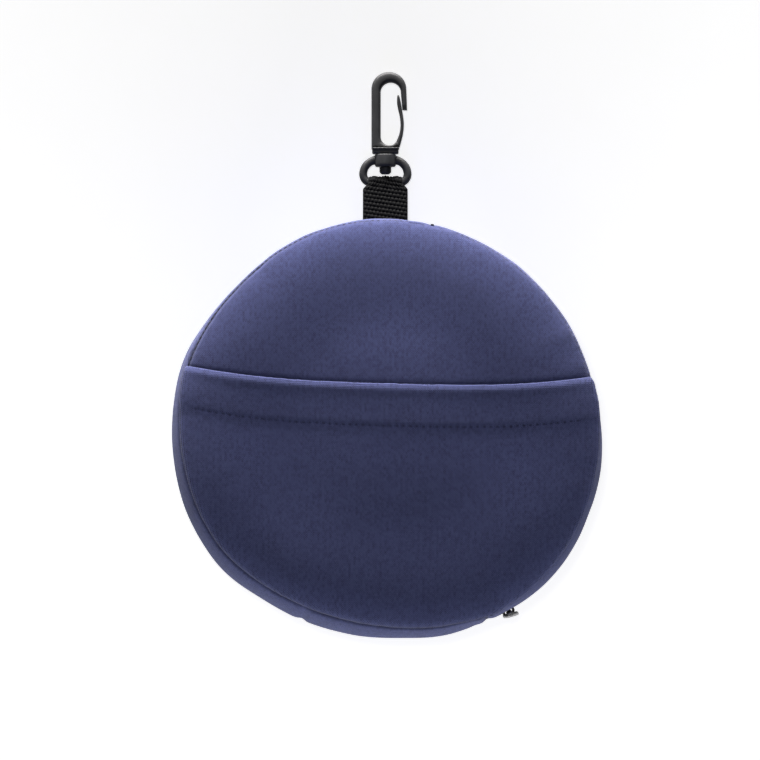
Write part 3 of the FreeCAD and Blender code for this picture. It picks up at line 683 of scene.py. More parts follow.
def front_base(disc):
    """The front panel before it is blown up: a dome with a rolled edge."""
    share, angle = polar(disc)
    seam = front_seam(angle)
    middle = np.array([SEAM_SHIFT.x, SEAM_SHIFT.y, 0])
    points = middle + (seam - middle) * share[..., None]
    rise = CROWN_Z - FRONT_Z - 0.5 * MM
    dome = (1 - np.clip(share, 0, 1) ** 2.2) ** (1 / 1.45)
    points[..., 2] = FRONT_Z + (seam[..., 2] - FRONT_Z) * share**3 + rise * dome
    return points, share, angle


def back_base(disc):
    """The back panel: a flat patch, then a turn-up, most of a quarter circle, to the back seam."""
    share, angle = polar(disc)
    points = back_seam(angle) * share[..., None]
    quarter = 0.97
    turn_up = quarter * np.clip((share * SEAM_R - REST_R) / (SEAM_R - REST_R), 0, 1)
    points[..., 2] = BACK_Z * (1 - np.sqrt(1 - turn_up**2)) / (1 - math.sqrt(1 - quarter**2))
    return points, share, angle


def gusset_base(angle, share):
    """The gusset between the two seams, share 0 at the back one and 1 at the front one."""
    low, high = back_seam(angle), front_seam(angle)
    end = np.where(share[..., None] > 0.5, high, low)
    end_radius = np.hypot(end[..., 0], end[..., 1])
    girth = GIRTH_R + girth_wave(angle)
    swell = np.clip(1 - np.abs(2 * share - 1) ** 2.2, 0, 1) ** (1 / 1.4)
    spare = np.clip(outline_wave(angle) - chain_wave(angle), 0, 1) * in_zip(angle)
    strip = np.sin(math.pi * np.clip((np.abs(2 * share - 1) - 0.2) / 0.8, 0, 1))
    radius = end_radius + (girth - end_radius) * swell + 0.95 * spare * strip
    return around(angle, radius, low[..., 2] + (high[..., 2] - low[..., 2]) * share)


def swell(points, faces, pinned, cap, pressure=4.0):
    """The cloth after stuffing: a pressure simulation, with each point's move capped."""
    mesh = bpy.data.meshes.new("swell")
    mesh.from_pydata(points.tolist(), [], faces.tolist())
    obj = bpy.data.objects.new("swell", mesh)
    bpy.context.scene.collection.objects.link(obj)
    group = obj.vertex_groups.new(name="pinned")
    group.add([int(i) for i in pinned], 1.0, "REPLACE")
    cloth = obj.modifiers.new("cloth", "CLOTH")
    settings = cloth.settings
    settings.quality = 8
    settings.mass = 0.25
    settings.tension_stiffness = 25
    settings.compression_stiffness = 25
    settings.shear_stiffness = 12
    settings.bending_stiffness = 2.0
    settings.use_pressure = True
    settings.uniform_pressure_force = pressure
    settings.vertex_group_mass = "pinned"
    settings.effector_weights.gravity = 0
    cloth.point_cache.frame_start = 1
    cloth.point_cache.frame_end = 20
    for step in range(1, 21):
        bpy.context.scene.frame_set(step)
    shaped = obj.evaluated_get(bpy.context.evaluated_depsgraph_get()).to_mesh()
    moved = np.empty(len(points) * 3)
    shaped.vertices.foreach_get("co", moved)
    bpy.data.objects.remove(obj)
    bpy.data.meshes.remove(mesh)
    bpy.context.scene.frame_set(1)
    move = moved.reshape(-1, 3) - points
    length = np.linalg.norm(move, axis=-1, keepdims=True)
    print("swell: largest move", float(length.max()))
    return move / np.maximum(length, 1e-12) * cap * np.tanh(length / cap)


def swollen_pouch():
    """Moves of the front panel, gusset and back panel grids when the pouch is stuffed."""
    disc, rim = disc_grid(SIM_CELLS)
    size = SIM_CELLS + 1
    count = size * size
    columns = 4 * SIM_CELLS
    front = front_base(disc)[0].reshape(-1, 3)
    back = back_base(disc)[0].reshape(-1, 3)
    shares = np.linspace(0, 1, SIM_ROWS + 1)[1:-1]
    angles = rim_angles(SIM_CELLS)
    angle_grid, share_grid = np.meshgrid(angles, shares)
    side = gusset_base(angle_grid, share_grid)
    points = np.concatenate([front, back, side.reshape(-1, 3)])
    rows = [count + rim] + [2 * count + k * columns + np.arange(columns) for k in range(SIM_ROWS - 1)] + [rim]
    bands = [
        np.stack([low, np.roll(low, -1), np.roll(high, -1), high], axis=-1)
        for low, high in zip(rows, rows[1:])
    ]
    sheet = grid_faces(size, size)
    faces = np.concatenate([sheet, sheet[:, ::-1] + count, *bands])
    flat = np.nonzero(np.hypot(back[:, 0], back[:, 1]) < REST_R)[0] + count
    slot = (np.abs(share_grid - 0.5) < 0.13) & (in_zip(angle_grid) > 0.3)
    held = np.concatenate([rim, count + rim, flat, 2 * count + np.nonzero(slot.ravel())[0]])
    move = swell(points, faces, held, 4.5 * MM)
    side_move = np.zeros((SIM_ROWS + 1, columns, 3))
    side_move[1:-1] = move[2 * count :].reshape(SIM_ROWS - 1, columns, 3)
    return move[:count].reshape(size, size, 3), side_move, move[count : 2 * count].reshape(size, size, 3)


def fine_disc(base, move, cells):
    """A panel's fine grid with the stuffed shape."""
    disc, rim = disc_grid(cells)
    points, share, angle = base(disc)
    weights = spline_weights(SIM_CELLS + 1, np.linspace(0, SIM_CELLS, cells + 1))
    swollen = np.einsum("ai,ijc,bj->abc", weights, move, weights)
    return points + swollen * smooth((1 - share) * SEAM_R / (62 * MM))[..., None], share, angle, rim


def fine_gusset(angles, shares, move):
    """Part of the gusset on a fine grid with the stuffed shape."""
    angle_grid, share_grid = np.meshgrid(angles, shares)
    points = gusset_base(angle_grid, share_grid)
    columns = 4 * SIM_CELLS
    places = ((angles + math.pi / 4) % TAU) / TAU * columns
    down = spline_weights(SIM_ROWS + 1, shares * SIM_ROWS)
    round_it = spline_weights(columns, places, wrap=True)
    points += np.einsum("ai,ijc,bj->abc", down, move, round_it)
    return points, angle_grid, share_grid


def seam_pucker(angle, distance, reach=4.5 * MM):
    """Small gathers beside a seam."""
    fine = 0.07 * MM * waves(angle, (89, 113, 137, 71), (0.3, 1.9, 4.4, 2.6))
    broad = 0.14 * MM * waves(angle, (23, 31, 41), (1.1, 3.0, 5.2))
    return fine * np.exp(-distance / reach) + broad * np.exp(-distance / (2.6 * reach))


def seam_depth(angle):
    """How sharply the front seam bites: 1 where the gusset shows, less where it is stretched smooth."""
    smooth_side = 0.3 + 0.4 * near(angle, math.radians(136), math.radians(26))
    return smooth_side + (1 - smooth_side) * np.clip(np.cos(angle - LEAN) * 1.6, 0, 1)


def seam_groove(distance, depth):
    """The soft valley that both sides of a seam sink into."""
    return -depth * MM * np.exp(-((distance / (1.2 * MM)) ** 2))


def seam_painted_shade(distance, depth, reach=1.3 * MM):
    """How much painted shade darkens the cloth along a seam's groove."""
    return 0.75 * depth * np.exp(-((distance / reach) ** 2))


def front_panel_grid(move):
    """The front panel's outer face with its soft dents and gathers, and the painted shade in its seam groove
    and above the pocket mouth.
    """
    points, share, angle, rim = fine_disc(front_base, move, PANEL_CELLS)
    normals = grid_normals(points)
    distance = (1 - share) * SEAM_R
    x, y = points[..., 0], points[..., 1]
    dents = 0.2 * MM * np.sin(x * 47 + 1.2) * np.cos(y * 38 + 0.5) + 0.08 * MM * np.sin(x * 83 + y * 61)
    dents *= smooth(distance / (30 * MM))
    depth = seam_depth(angle)
    lift = dents + seam_pucker(angle, distance) * smooth(distance / (0.8 * MM)) + seam_groove(distance, depth)
    above_mouth = y - mouth_line(x) - 0.5 * MM
    inside = smooth(distance / (2 * MM))
    lift -= 0.3 * MM * np.exp(-((above_mouth / (1.8 * MM)) ** 2)) * inside
    # Painted shade along the seam's groove and in the crevice just above the pocket mouth.
    painted_shade = seam_painted_shade(distance, depth) + 0.75 * np.exp(-((above_mouth / (1.0 * MM)) ** 2)) * inside
    return points + normals * lift[..., None], painted_shade, rim


front_move, side_move, back_move = swollen_pouch()


def make_front_panel():
    """Domed front panel."""
    points, painted_shade, rim = front_panel_grid(front_move)
    uv = np.column_stack([points.reshape(-1, 3)[:, :2], painted_shade.ravel()])
    shell = disc_shell(points, FABRIC, rim, uv)
    obj = new_object("front_panel_cloth", shell[0], shell[1], knit, shell[2])
    place_piece(obj, "pouch", "pouch_knit", "front_panel")
    return points


def make_back_panel():
    """Back panel, flat where the pouch lies."""
    cells = 112
    points, share, angle, rim = fine_disc(back_base, back_move, cells)
    points, share, angle = points[:, ::-1], share[:, ::-1], angle[:, ::-1]
    rim = rim // (cells + 1) * (cells + 1) + cells - rim % (cells + 1)
    normals = grid_normals(points)
    distance = (1 - share) * SEAM_R
    lift = seam_pucker(angle + 0.7, distance) * smooth(distance / MM) * (share * SEAM_R > REST_R)
    lift += seam_groove(distance, 0.8)
    points = points + normals * lift[..., None]
    points[..., 2] = np.maximum(points[..., 2], 0.0)
    # Painted shade along the back seam's groove, carried with the UV.
    uv = np.column_stack([points.reshape(-1, 3)[:, :2], seam_painted_shade(distance, 0.8).ravel()])
    shell = disc_shell(points, FABRIC, rim, uv)
    obj = new_object("back_panel_cloth", shell[0], shell[1], knit, shell[2])
    place_piece(obj, "pouch", "pouch_knit", "back_panel")


def gusset_piece(name, node, angles, shares):
    """One length of the gusset, its ends and edges sinking into their seams."""
    points, angle, share = fine_gusset(angles, shares, side_move)
    normals = grid_normals(points)
    normals *= np.sign((normals * around(angle, 1.0, 0.0)).sum(-1, keepdims=True))
    height = FRONT_Z - BACK_Z
    lift = seam_pucker(angle + 0.2, (1 - share) * height) * smooth((1 - share) * height / MM)
    lift += seam_pucker(angle + 1.3, share * height) * smooth(share * height / MM)
    depth = seam_depth(angle)
    lift += seam_groove((1 - share) * height, depth) + seam_groove(share * height, 0.8)
    for seam_at, dent in ((ZIP_START, 0.9 * MM), (ZIP_END, 0.4 * MM)):
        away = np.abs(turn_of(angle - seam_at)) * GIRTH_R
        lift -= dent * np.exp(-((away / (2.2 * MM)) ** 2))
        lift += 0.4 * dent * np.exp(-(((away - 6 * MM) / (3.5 * MM)) ** 2))
    for place, dent in ((-65.5, 0.5), (-114.6, 1.0)):
        lift -= dent * MM * near(angle, math.radians(place), math.radians(1.3)) * smooth(share * 4)
    lift += 0.3 * MM * waves(angle, (7, 11, 17), (0.2, 1.4, 3.3)) * np.sin(math.pi * share)
    points = points + normals * lift[..., None]
    # Painted shade along the front seam's groove, wider on the gusset side, and along the back seam's groove.
    painted_shade = seam_painted_shade((1 - share) * height, depth, 1.7 * MM) + seam_painted_shade(share * height, 0.8)
    # Painted shade at the zip's two ends, where the strips meet the plain gusset.
    for seam_at, zip_end_shade in ((ZIP_START, 0.7), (ZIP_END, 0.3)):
        painted_shade = painted_shade + zip_end_shade * np.exp(-((turn_of(angle - seam_at) * GIRTH_R / MM) ** 2))
    uv = np.stack([angle * GIRTH_R, share * height, painted_shade], axis=-1)
    shell = cloth_shell(points[::-1], FABRIC, uv[::-1], roll=2 if node == "gusset_fixed" else 4)
    obj = new_object(name, shell[0], shell[1], knit, shell[2])
    place_piece(obj, "pouch", "pouch_knit", node)


def make_gusset():
    """The plain length and the two strips beside the zip."""
    column = TAU / (4 * PANEL_CELLS)
    plain = np.linspace(ZIP_END, ZIP_START + TAU, int((TAU - ZIP_END + ZIP_START) / column))
    turn = math.pi * np.linspace(0, 1, 49)
    gusset_piece("gusset_cloth", "gusset_fixed", plain, 0.5 - 0.5 * np.cos(turn) * (1 - 0.25 * np.sin(turn)))
    zipped = np.linspace(ZIP_START, ZIP_END, int((ZIP_END - ZIP_START) / column))
    height = FRONT_Z - BACK_Z
    half_roll = FABRIC / 2
    high = (SLOT_HIGH + half_roll - BACK_Z) / height
    low = (SLOT_LOW - half_roll - BACK_Z) / height
    easing = np.sin(math.pi / 2 * np.linspace(0, 1, 24))
    gusset_piece("gusset_front_strip_cloth", "gusset_front_strip", zipped, high + (1 - high) * easing)
    gusset_piece("gusset_back_strip_cloth", "gusset_back_strip", zipped, low - low * easing[::-1])


# ---------------------------------------------------------------- pocket and sewing


def mouth_line(x):
    """The pocket mouth's Y at an X."""
    return MOUTH_Y + MOUTH_LEAN * x + MOUTH_SAG * np.abs(x / SEAM_R) ** 2.8


def surface_tree(points):
    """A tree that finds places on a grid."""
    faces = grid_faces(*points.shape[:2])
    return BVHTree.FromPolygons(points.reshape(-1, 3).tolist(), faces.tolist())


def drop(tree, x, y, start=0.2):
    """Heights and upward normals under places, straight down onto a surface."""
    heights, normals = [], []
    for px, py in zip(np.ravel(x), np.ravel(y)):
        spot, normal, _, _ = tree.ray_cast(Vector((px, py, start)), Vector((0, 0, -1)))
        if spot is None:
            spot, normal, _, _ = tree.find_nearest(Vector((px, py, FRONT_Z)))
        heights.append(spot.z)
        normals.append(normal if normal.z > 0 else -normal)
    return np.array(heights).reshape(np.shape(x)), np.array(normals).reshape(*np.shape(x), 3)


def pocket_plan(columns, rows):
    """The pocket's grid seen from above: mouth at the top, the seam round its other sides."""
    inset = 0.05 * MM

    def rim(angle):
        spot = front_seam(angle)[..., :2]
        middle = np.array(SEAM_SHIFT)
        out = spot - middle
        return middle + out * (1 - inset / np.linalg.norm(out, axis=-1, keepdims=True))

    def mouth_end(guess):
        angle = guess
        for _ in range(30):
            x, y = rim(np.array(angle))
            angle += (mouth_line(x) - y) / SEAM_R * np.sign(math.cos(angle))
        return angle

    right, left = mouth_end(math.radians(15)), mouth_end(math.radians(163))
    corner_left, corner_right = math.radians(232), math.radians(308)
    s = np.linspace(0, 1, columns)
    start, end = rim(np.array(left)), rim(np.array(right))
    x = start[0] + (end[0] - start[0]) * s
    top = np.stack([x, mouth_line(x)], axis=-1)
    bottom = rim(np.linspace(corner_left, corner_right, columns))
    side_left = rim(left + (corner_left - left) * rows)
    side_right = rim(right + TAU + (corner_right - right - TAU) * rows)
    s, t = s[None, :, None], rows[:, None, None]
    plan = (1 - t) * top[None] + t * bottom[None] + (1 - s) * side_left[:, None] + s * side_right[:, None]
    plan -= (1 - s) * (1 - t) * start + s * (1 - t) * end + (1 - s) * t * bottom[0] + s * t * bottom[-1]
    return plan


def make_pocket(front):
    """Patch pocket with a folded hem along its sagging mouth."""
    hem_share = 0.215  # of the rows, closer together over the hem
    body_rows = hem_share + (1 - hem_share) * np.linspace(0, 1, 66) ** 1.05
    rows = np.concatenate([np.linspace(0, hem_share, 60)[:-1], body_rows])
    plan = pocket_plan(300, rows)
    x, y = plan[..., 0], plan[..., 1]
    height, normal = drop(surface_tree(front), x, y)
    below = mouth_line(x) - y
    away = x - SEAM_SHIFT.x, y - SEAM_SHIFT.y
    angle = np.arctan2(away[1], away[0])
    rim = front_seam(angle)[..., :2] - np.array(SEAM_SHIFT)
    distance = np.linalg.norm(rim, axis=-1) - np.hypot(*away)
    in_hem = smooth((HEM_DEPTH - below) / (9.0 * MM) + 0.6)
    layers = FABRIC * (0.85 + 0.2 * in_hem)
    gape = 0.9 * MM * np.exp(-below / (11 * MM)) * smooth(distance / (50 * MM))
    roll = 0.16 * MM * np.exp(-(((below - 2.6 * MM) / (2.4 * MM)) ** 2))
    lip = 0.32 * MM * (1 - smooth(below / (2.6 * MM))) ** 1.5
    offset = 0.3 * MM + layers + gape + roll - lip
    row_at = below - HEM_DEPTH
    needle = (0.5 - 0.5 * np.cos(TAU * x / STITCH_PITCH)) ** 2
    stitched = np.exp(-((row_at / (0.75 * MM)) ** 2)) * smooth((distance - 7 * MM) / (3 * MM))
    offset -= stitched * (0.03 * MM + 0.42 * MM * needle)
    edge = smooth(distance / (2.4 * MM) + 0.25)
    offset = 0.35 * MM + (offset - 0.35 * MM) * edge
    dents = 0.12 * MM * np.sin(x * 41 + 0.8) * np.sin(y * 36 + 2.0) + 0.06 * MM * np.cos(x * 74 - y * 52)
    offset += dents * smooth(distance / (25 * MM))
    points = np.stack([x, y, height], axis=-1) + normal * offset[..., None]
    # Painted shade along the pocket's seam groove and in the hem's needle dimples.
    painted_shade = seam_painted_shade(distance, seam_depth(angle), 1.5 * MM) + 0.8 * stitched * needle
    uv = np.stack([x + 0.004 * y + 0.3, y - 0.004 * x, painted_shade], axis=-1)
    thick = np.minimum(layers, offset - 0.1 * MM)
    shell = cloth_shell(points[::-1], thick[::-1], uv[::-1])
    obj = new_object("pocket_cloth", shell[0], shell[1], knit, shell[2])
    place_piece(obj, "pouch", "pouch_knit", "pocket_panel")
    return points


def make_hem_stitches(pocket):
    """The row of stitches along the hem's foot."""
    tree = surface_tree(pocket)
    count = int(1.84 * SEAM_R / STITCH_PITCH)
    parts = []
    for k in range(count):
        x = (k - count // 2) * STITCH_PITCH
        y = mouth_line(x) - HEM_DEPTH
        edge = front_seam(np.array(math.atan2(y, x)))
        if math.hypot(x, y) > math.hypot(edge[0], edge[1]) - 9 * MM:
            continue
        ahead = x + 0.5 * MM
        heights, normals = drop(tree, np.array([x, ahead]), np.array([y, mouth_line(ahead) - HEM_DEPTH]))
        spot = np.array([x, y, heights[0]])
        along = np.array([ahead, mouth_line(ahead) - HEM_DEPTH, heights[1]]) - spot
        along /= np.linalg.norm(along)
        parts.append(stitch(spot, along, normals[0], 2.3 * MM, 0.25 * MM, 0.05 * MM))
    obj = new_object("pocket_hem_thread", *joined(parts), navy_thread)
    place_piece(obj, "pouch", "sewing_thread", "pocket_hem_stitches")


def make_seam_threads():
    """The lockstitches deep in each seam's groove; the back row stops at the webbing."""
    pitch = 3.0 * MM
    count = int(TAU * SEAM_R / pitch)
    web_half = (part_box("web_loop")[1].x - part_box("web_loop")[0].x) / 2 / SEAM_R
    seams = (("front_seam_thread", front_seam, 0.5), ("back_seam_thread", back_seam, -0.5))
    for name, line, outward_z in seams:
        parts = []
        for k in range(count):
            angle = TAU * k / count
            if line is back_seam and abs(turn_of(angle - math.pi / 2)) < web_half + 0.01:
                continue
            spot = line(np.array(angle))
            along = line(np.array(angle + 0.002)) - spot
            along /= np.linalg.norm(along)
            out = np.array([math.cos(angle), math.sin(angle), outward_z])
            out /= np.linalg.norm(out)
            sunk = 0.6 * MM + 0.8 * MM * near(angle, ZIP_END, math.radians(4))
            spot = spot - out * sunk
            parts.append(stitch(spot, along, out, 2.6 * MM, 0.3 * MM, 0.2 * MM, 5, 6))
        obj = new_object(f"{name}_stitches", *joined(parts), navy_thread)
        place_piece(obj, "pouch", "sewing_thread", name)


# ---------------------------------------------------------------- zip


def zip_point(angle, radius, height):
    """A point on the zip, which follows the chain's gentle wave."""
    return around(angle, radius + chain_wave(angle), height)


def make_tapes():
    """The two woven tapes under the gusset strips."""
    for side, up in (("front", 1), ("back", -1)):
        angles = np.linspace(ZIP_START - math.radians(0.6), ZIP_END + math.radians(0.6), 420)
        heights = GIRTH_Z + up * np.linspace(0.7, 9.5, 16) * MM
        angle, height = np.meshgrid(angles, heights)
        bead = 0.25 * MM * np.exp(-(((np.abs(height - GIRTH_Z) - 5.1 * MM) / (0.4 * MM)) ** 2))
        sink = 0.25 * MM * smooth((np.abs(height - GIRTH_Z) - 5.5 * MM) / (2 * MM))
        points = zip_point(angle, TAPE_R - sink + bead * 0.4, height)
        uv = np.stack([angle * TAPE_R, height], axis=-1)
        order = slice(None) if up < 0 else slice(None, None, -1)
        shell = cloth_shell(points[order], 0.6 * MM, uv[order], roll=2)
        obj = new_object(f"zip_tape_{side}_weave", shell[0], shell[1], tape_weave, shell[2])
        place_piece(obj, "pouch", "zip_tape", f"zip_tape_{side}")


def make_coils():
    """The two nylon coils: each a flattened helix of monofilament, sewn down with a row of stitches."""
    pitch = 1.3 * MM
    start, end = ZIP_START + math.radians(3), ZIP_END - math.radians(3)
    turns = int((end - start) * COIL_R / pitch)
    per_turn = 14
    wire = 0.33 * MM
    low, high = TAPE_R + wire, COIL_R - wire
    for side, up in (("front", 1), ("back", -1)):
        t = np.arange(turns * per_turn + 1) / per_turn
        shift = 0.25 if up > 0 else -0.25
        angle = start + (t + shift) / turns * (end - start)
        phase = TAU * t
        flat = np.sign(np.cos(phase)) * np.abs(np.cos(phase)) ** 0.8
        height = GIRTH_Z + up * (1.75 * MM - 1.45 * MM * flat)
        radius = (low + high) / 2 + (high - low) / 2 * np.sin(phase)
        path = zip_point(angle, radius, height)
        leaning = around(angle, 0.2, 0.1) + around(angle + math.pi / 2, 1.0, 0.0)
        side_way, upward = path_frame(path, leaning)
        helix = sweep(path, side_way, upward, oval(wire, wire, 2, 7))
        obj = new_object(f"zip_coil_{side}_wire", *helix, coil_nylon)
        place_piece(obj, "pouch", "zip_coil", f"zip_coil_{side}")
        count = int((end - start) * COIL_R / (2 * pitch))
        parts = []
        for k in range(count):
            middle = start + (k + 0.5) / count * (end - start)
            spot = zip_point(middle, COIL_R - 0.12 * MM, GIRTH_Z + up * 2.35 * MM)
            along = around(middle + math.pi / 2, 1.0, 0.0)
            parts.append(stitch(spot, along, around(middle, 1.0, 0.0), 2.2 * MM, 0.16 * MM, 0.06 * MM, 5, 6))
        sewing = new_object(f"zip_coil_{side}_sewing", *joined(parts), zip_thread)
        place_piece(sewing, "pouch", "zip_coil")


def block(angle, radius_low, radius_high, z_low, z_high, length, power=4.5):
    """A soft-edged block on the zip, standing out from the tape."""
    t = np.linspace(-1, 1, 15)
    shrink = np.maximum(1 - np.abs(t) ** power, 0.0) ** (1 / power)
    middle = (radius_low + radius_high) / 2
    path = np.array([zip_point(angle + s * length / 2 / middle, middle, (z_low + z_high) / 2) for s in t])
    profile = oval((z_high - z_low) / 2, (radius_high - radius_low) / 2, power, 28)
    profile = profile[None] * np.maximum(shrink, 0.05)[:, None, None]
    return sweep(path, (0.0, 0.0, 1.0), around(angle, 1.0, 0.0), profile)


def make_stops():
    """Two top stops and the bottom stop."""
    start, end = ZIP_START + math.radians(3), ZIP_END - math.radians(3)
    face = COIL_R + 0.35 * MM
    length = math.radians(1.2) * COIL_R
    first = start - math.radians(0.6)
    parts = [
        block(first, TAPE_R - 0.3 * MM, face, GIRTH_Z + low * MM, GIRTH_Z + high * MM, length)
        for low, high in ((0.6, 3.2), (-3.2, -0.6))
    ]
    obj = new_object("zip_top_stop_pair", *joined(parts), coil_nylon)
    place_piece(obj, "pouch", "zip_coil", "zip_top_stops")
    last = end + math.radians(0.6)
    bottom = block(last, TAPE_R - 0.3 * MM, face, GIRTH_Z - 3.2 * MM, GIRTH_Z + 3.2 * MM, length)
    obj = new_object("zip_bottom_stop_bar", *bottom, coil_nylon)
    place_piece(obj, "pouch", "zip_coil", "zip_bottom_stop")


def slider_axes():
    """The slider's directions: along the zip, up across it, and out."""
    out = np.array([math.cos(SLIDER_ANGLE), math.sin(SLIDER_ANGLE), 0.0])
    along = np.array([-math.sin(SLIDER_ANGLE), math.cos(SLIDER_ANGLE), 0.0])
    return along, np.array([0.0, 0.0, 1.0]), out


def slab(outline, levels, middle, axes):
    """A slab with an outline in two directions, and (height, inset) levels up it."""
    along, across, out = axes
    outline = np.asarray(outline, float)
    centre = outline.mean(0)
    ahead = np.roll(outline, -1, axis=0) - np.roll(outline, 1, axis=0)
    normal = np.stack([ahead[:, 1], -ahead[:, 0]], axis=-1)
    normal /= np.linalg.norm(normal, axis=-1, keepdims=True)
    normal *= np.sign(((outline - centre) * normal).sum(-1).mean())
    rings = []
    for height, inset in levels:
        flat = outline - normal * inset
        rings.append(middle + along * flat[:, :1] + across * flat[:, 1:] + out * height)
    count = len(outline)
    points = np.concatenate(rings)
    faces = grid_faces(len(levels), count, wrap_columns=True).tolist()
    caps = np.array([rings[0].mean(0), rings[-1].mean(0)])
    total = len(points)
    for k in range(count):
        after = (k + 1) % count
        faces.append([after, k, total])
        faces.append([total - count + k, total - count + after, total + 1])
    return np.concatenate([points, caps]), faces


def rounded_levels(low, high, radius, count=5):
    """Levels for a slab whose edges are rounded."""
    turns = np.linspace(0, math.pi / 2, count)
    lower = [(low + radius * (1 - math.sin(a)), radius * (1 - math.cos(a))) for a in turns[::-1]]
    upper = [(high - radius * (1 - math.sin(a)), radius * (1 - math.cos(a))) for a in turns]
    return lower + upper


def mirrored(half):
    """An outline from its upper half, mirrored in the first axis."""
    half = np.asarray(half, float)
    return np.concatenate([half, half[::-1] * [1, -1]])


def soft_outline(corners, count=72, rounds=3):
    """A closed outline with its corners cut soft."""
    points = np.asarray(corners, float)
    for _ in range(rounds):
        after = np.roll(points, -1, axis=0)
        points = np.stack([0.75 * points + 0.25 * after, 0.25 * points + 0.75 * after], axis=1).reshape(-1, 2)
    return resample(np.concatenate([points, points[:1]]), count + 1)[:-1]


def make_slider():
    """Zip slider: shield-shaped plates with flanges, a post, and an arched bridge for the pull."""
    axes = slider_axes()
    along, across, out = axes
    middle = np.array([0.0, 0.0, GIRTH_Z])
    half_length = 5.5 * MM
    half_width = (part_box("zip_slider_body")[1].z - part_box("zip_slider_body")[0].z) / 2
    shield = soft_outline(
        mirrored(
            [
                (-half_length, 2.4 * MM), (-half_length, 3.0 * MM), (-4.2 * MM, 3.7 * MM),
                (-1.0 * MM, 3.75 * MM), (1.6 * MM, half_width), (4.4 * MM, half_width),
                (half_length, 3.4 * MM), (half_length, 0.8 * MM), (4.9 * MM, 0.01 * MM),
            ]
        )
    )
    face = 117.7 * MM  # radius of the top plate's outer face
    plate = slab(shield, rounded_levels(face - 1.2 * MM, face, 0.5 * MM), middle, axes)
    dome = slab(shield * 0.62, rounded_levels(face - 0.3 * MM, face + 0.22 * MM, 0.24 * MM), middle, axes)
    under = slab(shield * 0.97, rounded_levels(110.7 * MM, 111.8 * MM, 0.4 * MM), middle, axes)
    flanges = []
    for side in (1, -1):
        t = np.linspace(-0.92, 0.92, 24)
        width = np.interp(t, [-1, -0.3, 0.3, 1], [3.15, 3.3, 3.98, 3.6]) * MM
        path = middle + along * (t * half_length)[:, None] + across * (side * width)[:, None]
        flanges.append(sweep(path + out * (face - 2 * MM), across, out, oval(0.5 * MM, 1.35 * MM, 4, 20)))
    post_path = middle + along * (3.6 * MM) + out * np.linspace(111.4, 116.8, 8)[:, None] * MM
    post = sweep(post_path, along, across, oval(1.3 * MM, 0.42 * MM, 2.5, 20))
    bar_out = joint_at["pull_swing"].xy.length
    foot = face - 0.5 * MM
    leg = 2.8 * MM
    corner = 1.1 * MM
    first_bend = arc((-leg + corner, bar_out - corner), corner, 180, 90, 9).tolist()
    second_bend = arc((leg - corner, bar_out - corner), corner, 90, 0, 9).tolist()
    feet = [(-leg, foot), (-leg, bar_out - corner)], [(leg, foot)]
    line = resample(feet[0] + first_bend + second_bend + feet[1], 48)
    path = middle + along * line[:, :1] + out * line[:, 1:]
    side_way, upward = path_frame(path, across)
    flare = 1 + 0.5 * smooth((foot + 1.0 * MM - line[:, 1]) / (1.0 * MM))
    profile = oval(0.75 * MM, 0.7 * MM, 3.5, 20)[None] * flare[:, None, None]
    bridge = sweep(path, side_way, upward, profile)
    obj = new_object("zip_slider", *joined([plate, dome, under, *flanges, post, bridge]), slider_enamel)
    place_piece(obj, "zip_slider", "slider_black", "zip_slider_body")


def make_pull():
    """Cast pull: an eye on the bridge and a rounded leaf with a raised rim."""
    along, across, out = slider_axes()
    centre = np.array(joint_at["pull_swing"])
    turn = math.radians(-19.5)
    wide = along * math.cos(turn) - out * math.sin(turn)
    face = out * math.cos(turn) + along * math.sin(turn)
    lean = math.radians(6)
    down = -across * math.cos(lean) + out * math.sin(lean)
    out = out * math.cos(lean) + across * math.sin(lean)
    t = np.linspace(0, TAU, 41)[:-1]
    ring_radius = 1.5 * MM
    path = centre + out * (ring_radius * np.cos(t))[:, None] + across * (ring_radius * np.sin(t))[:, None]
    radial = out * np.cos(t)[:, None] + across * np.sin(t)[:, None]
    eye = sweep(path, along, radial, oval(1.55 * MM, 0.5 * MM, 3, 18), closed=True)
    length = centre[2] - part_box("zip_pull_tab")[0].z
    half = 4.4 * MM
    tip = arc((length - half, 0.0), half, 90, 0, 16).tolist()
    neck = np.array([(1.7, 1.2), (3.0, 1.25), (4.1, 2.6), (5.3, 3.9), (6.8, half / MM)]) * MM
    shape = soft_outline(mirrored(neck.tolist() + tip[:-1]), 120, 2)
    thick = 1.4 * MM
    leaf = slab(shape, rounded_levels(-thick / 2, thick / 2, 0.45 * MM), centre, (down, wide, face))
    rims = []
    inner_tip = arc((length - half, 0.0), 3.1 * MM, 90, 0, 14).tolist()
    inner_neck = [(6.2 * MM, 2.6 * MM), (8.0 * MM, 3.1 * MM)]
    inner = soft_outline(mirrored(inner_neck + inner_tip[:-1]), 96, 2)
    for side in (1, -1):
        path = centre + down * inner[:, :1] + wide * inner[:, 1:] + face * side * (thick / 2 - 0.02 * MM)
        side_way, upward = path_frame(path, face * side, closed=True)
        rims.append(sweep(path, side_way, upward, oval(0.28 * MM, 0.16 * MM, 2, 10), closed=True))
    obj = new_object("zip_pull", *joined([eye, leaf, *rims]), pull_plating)
    place_piece(obj, "zip_pull", "pull_metal", "zip_pull_tab")


# ---------------------------------------------------------------- webbing and clip


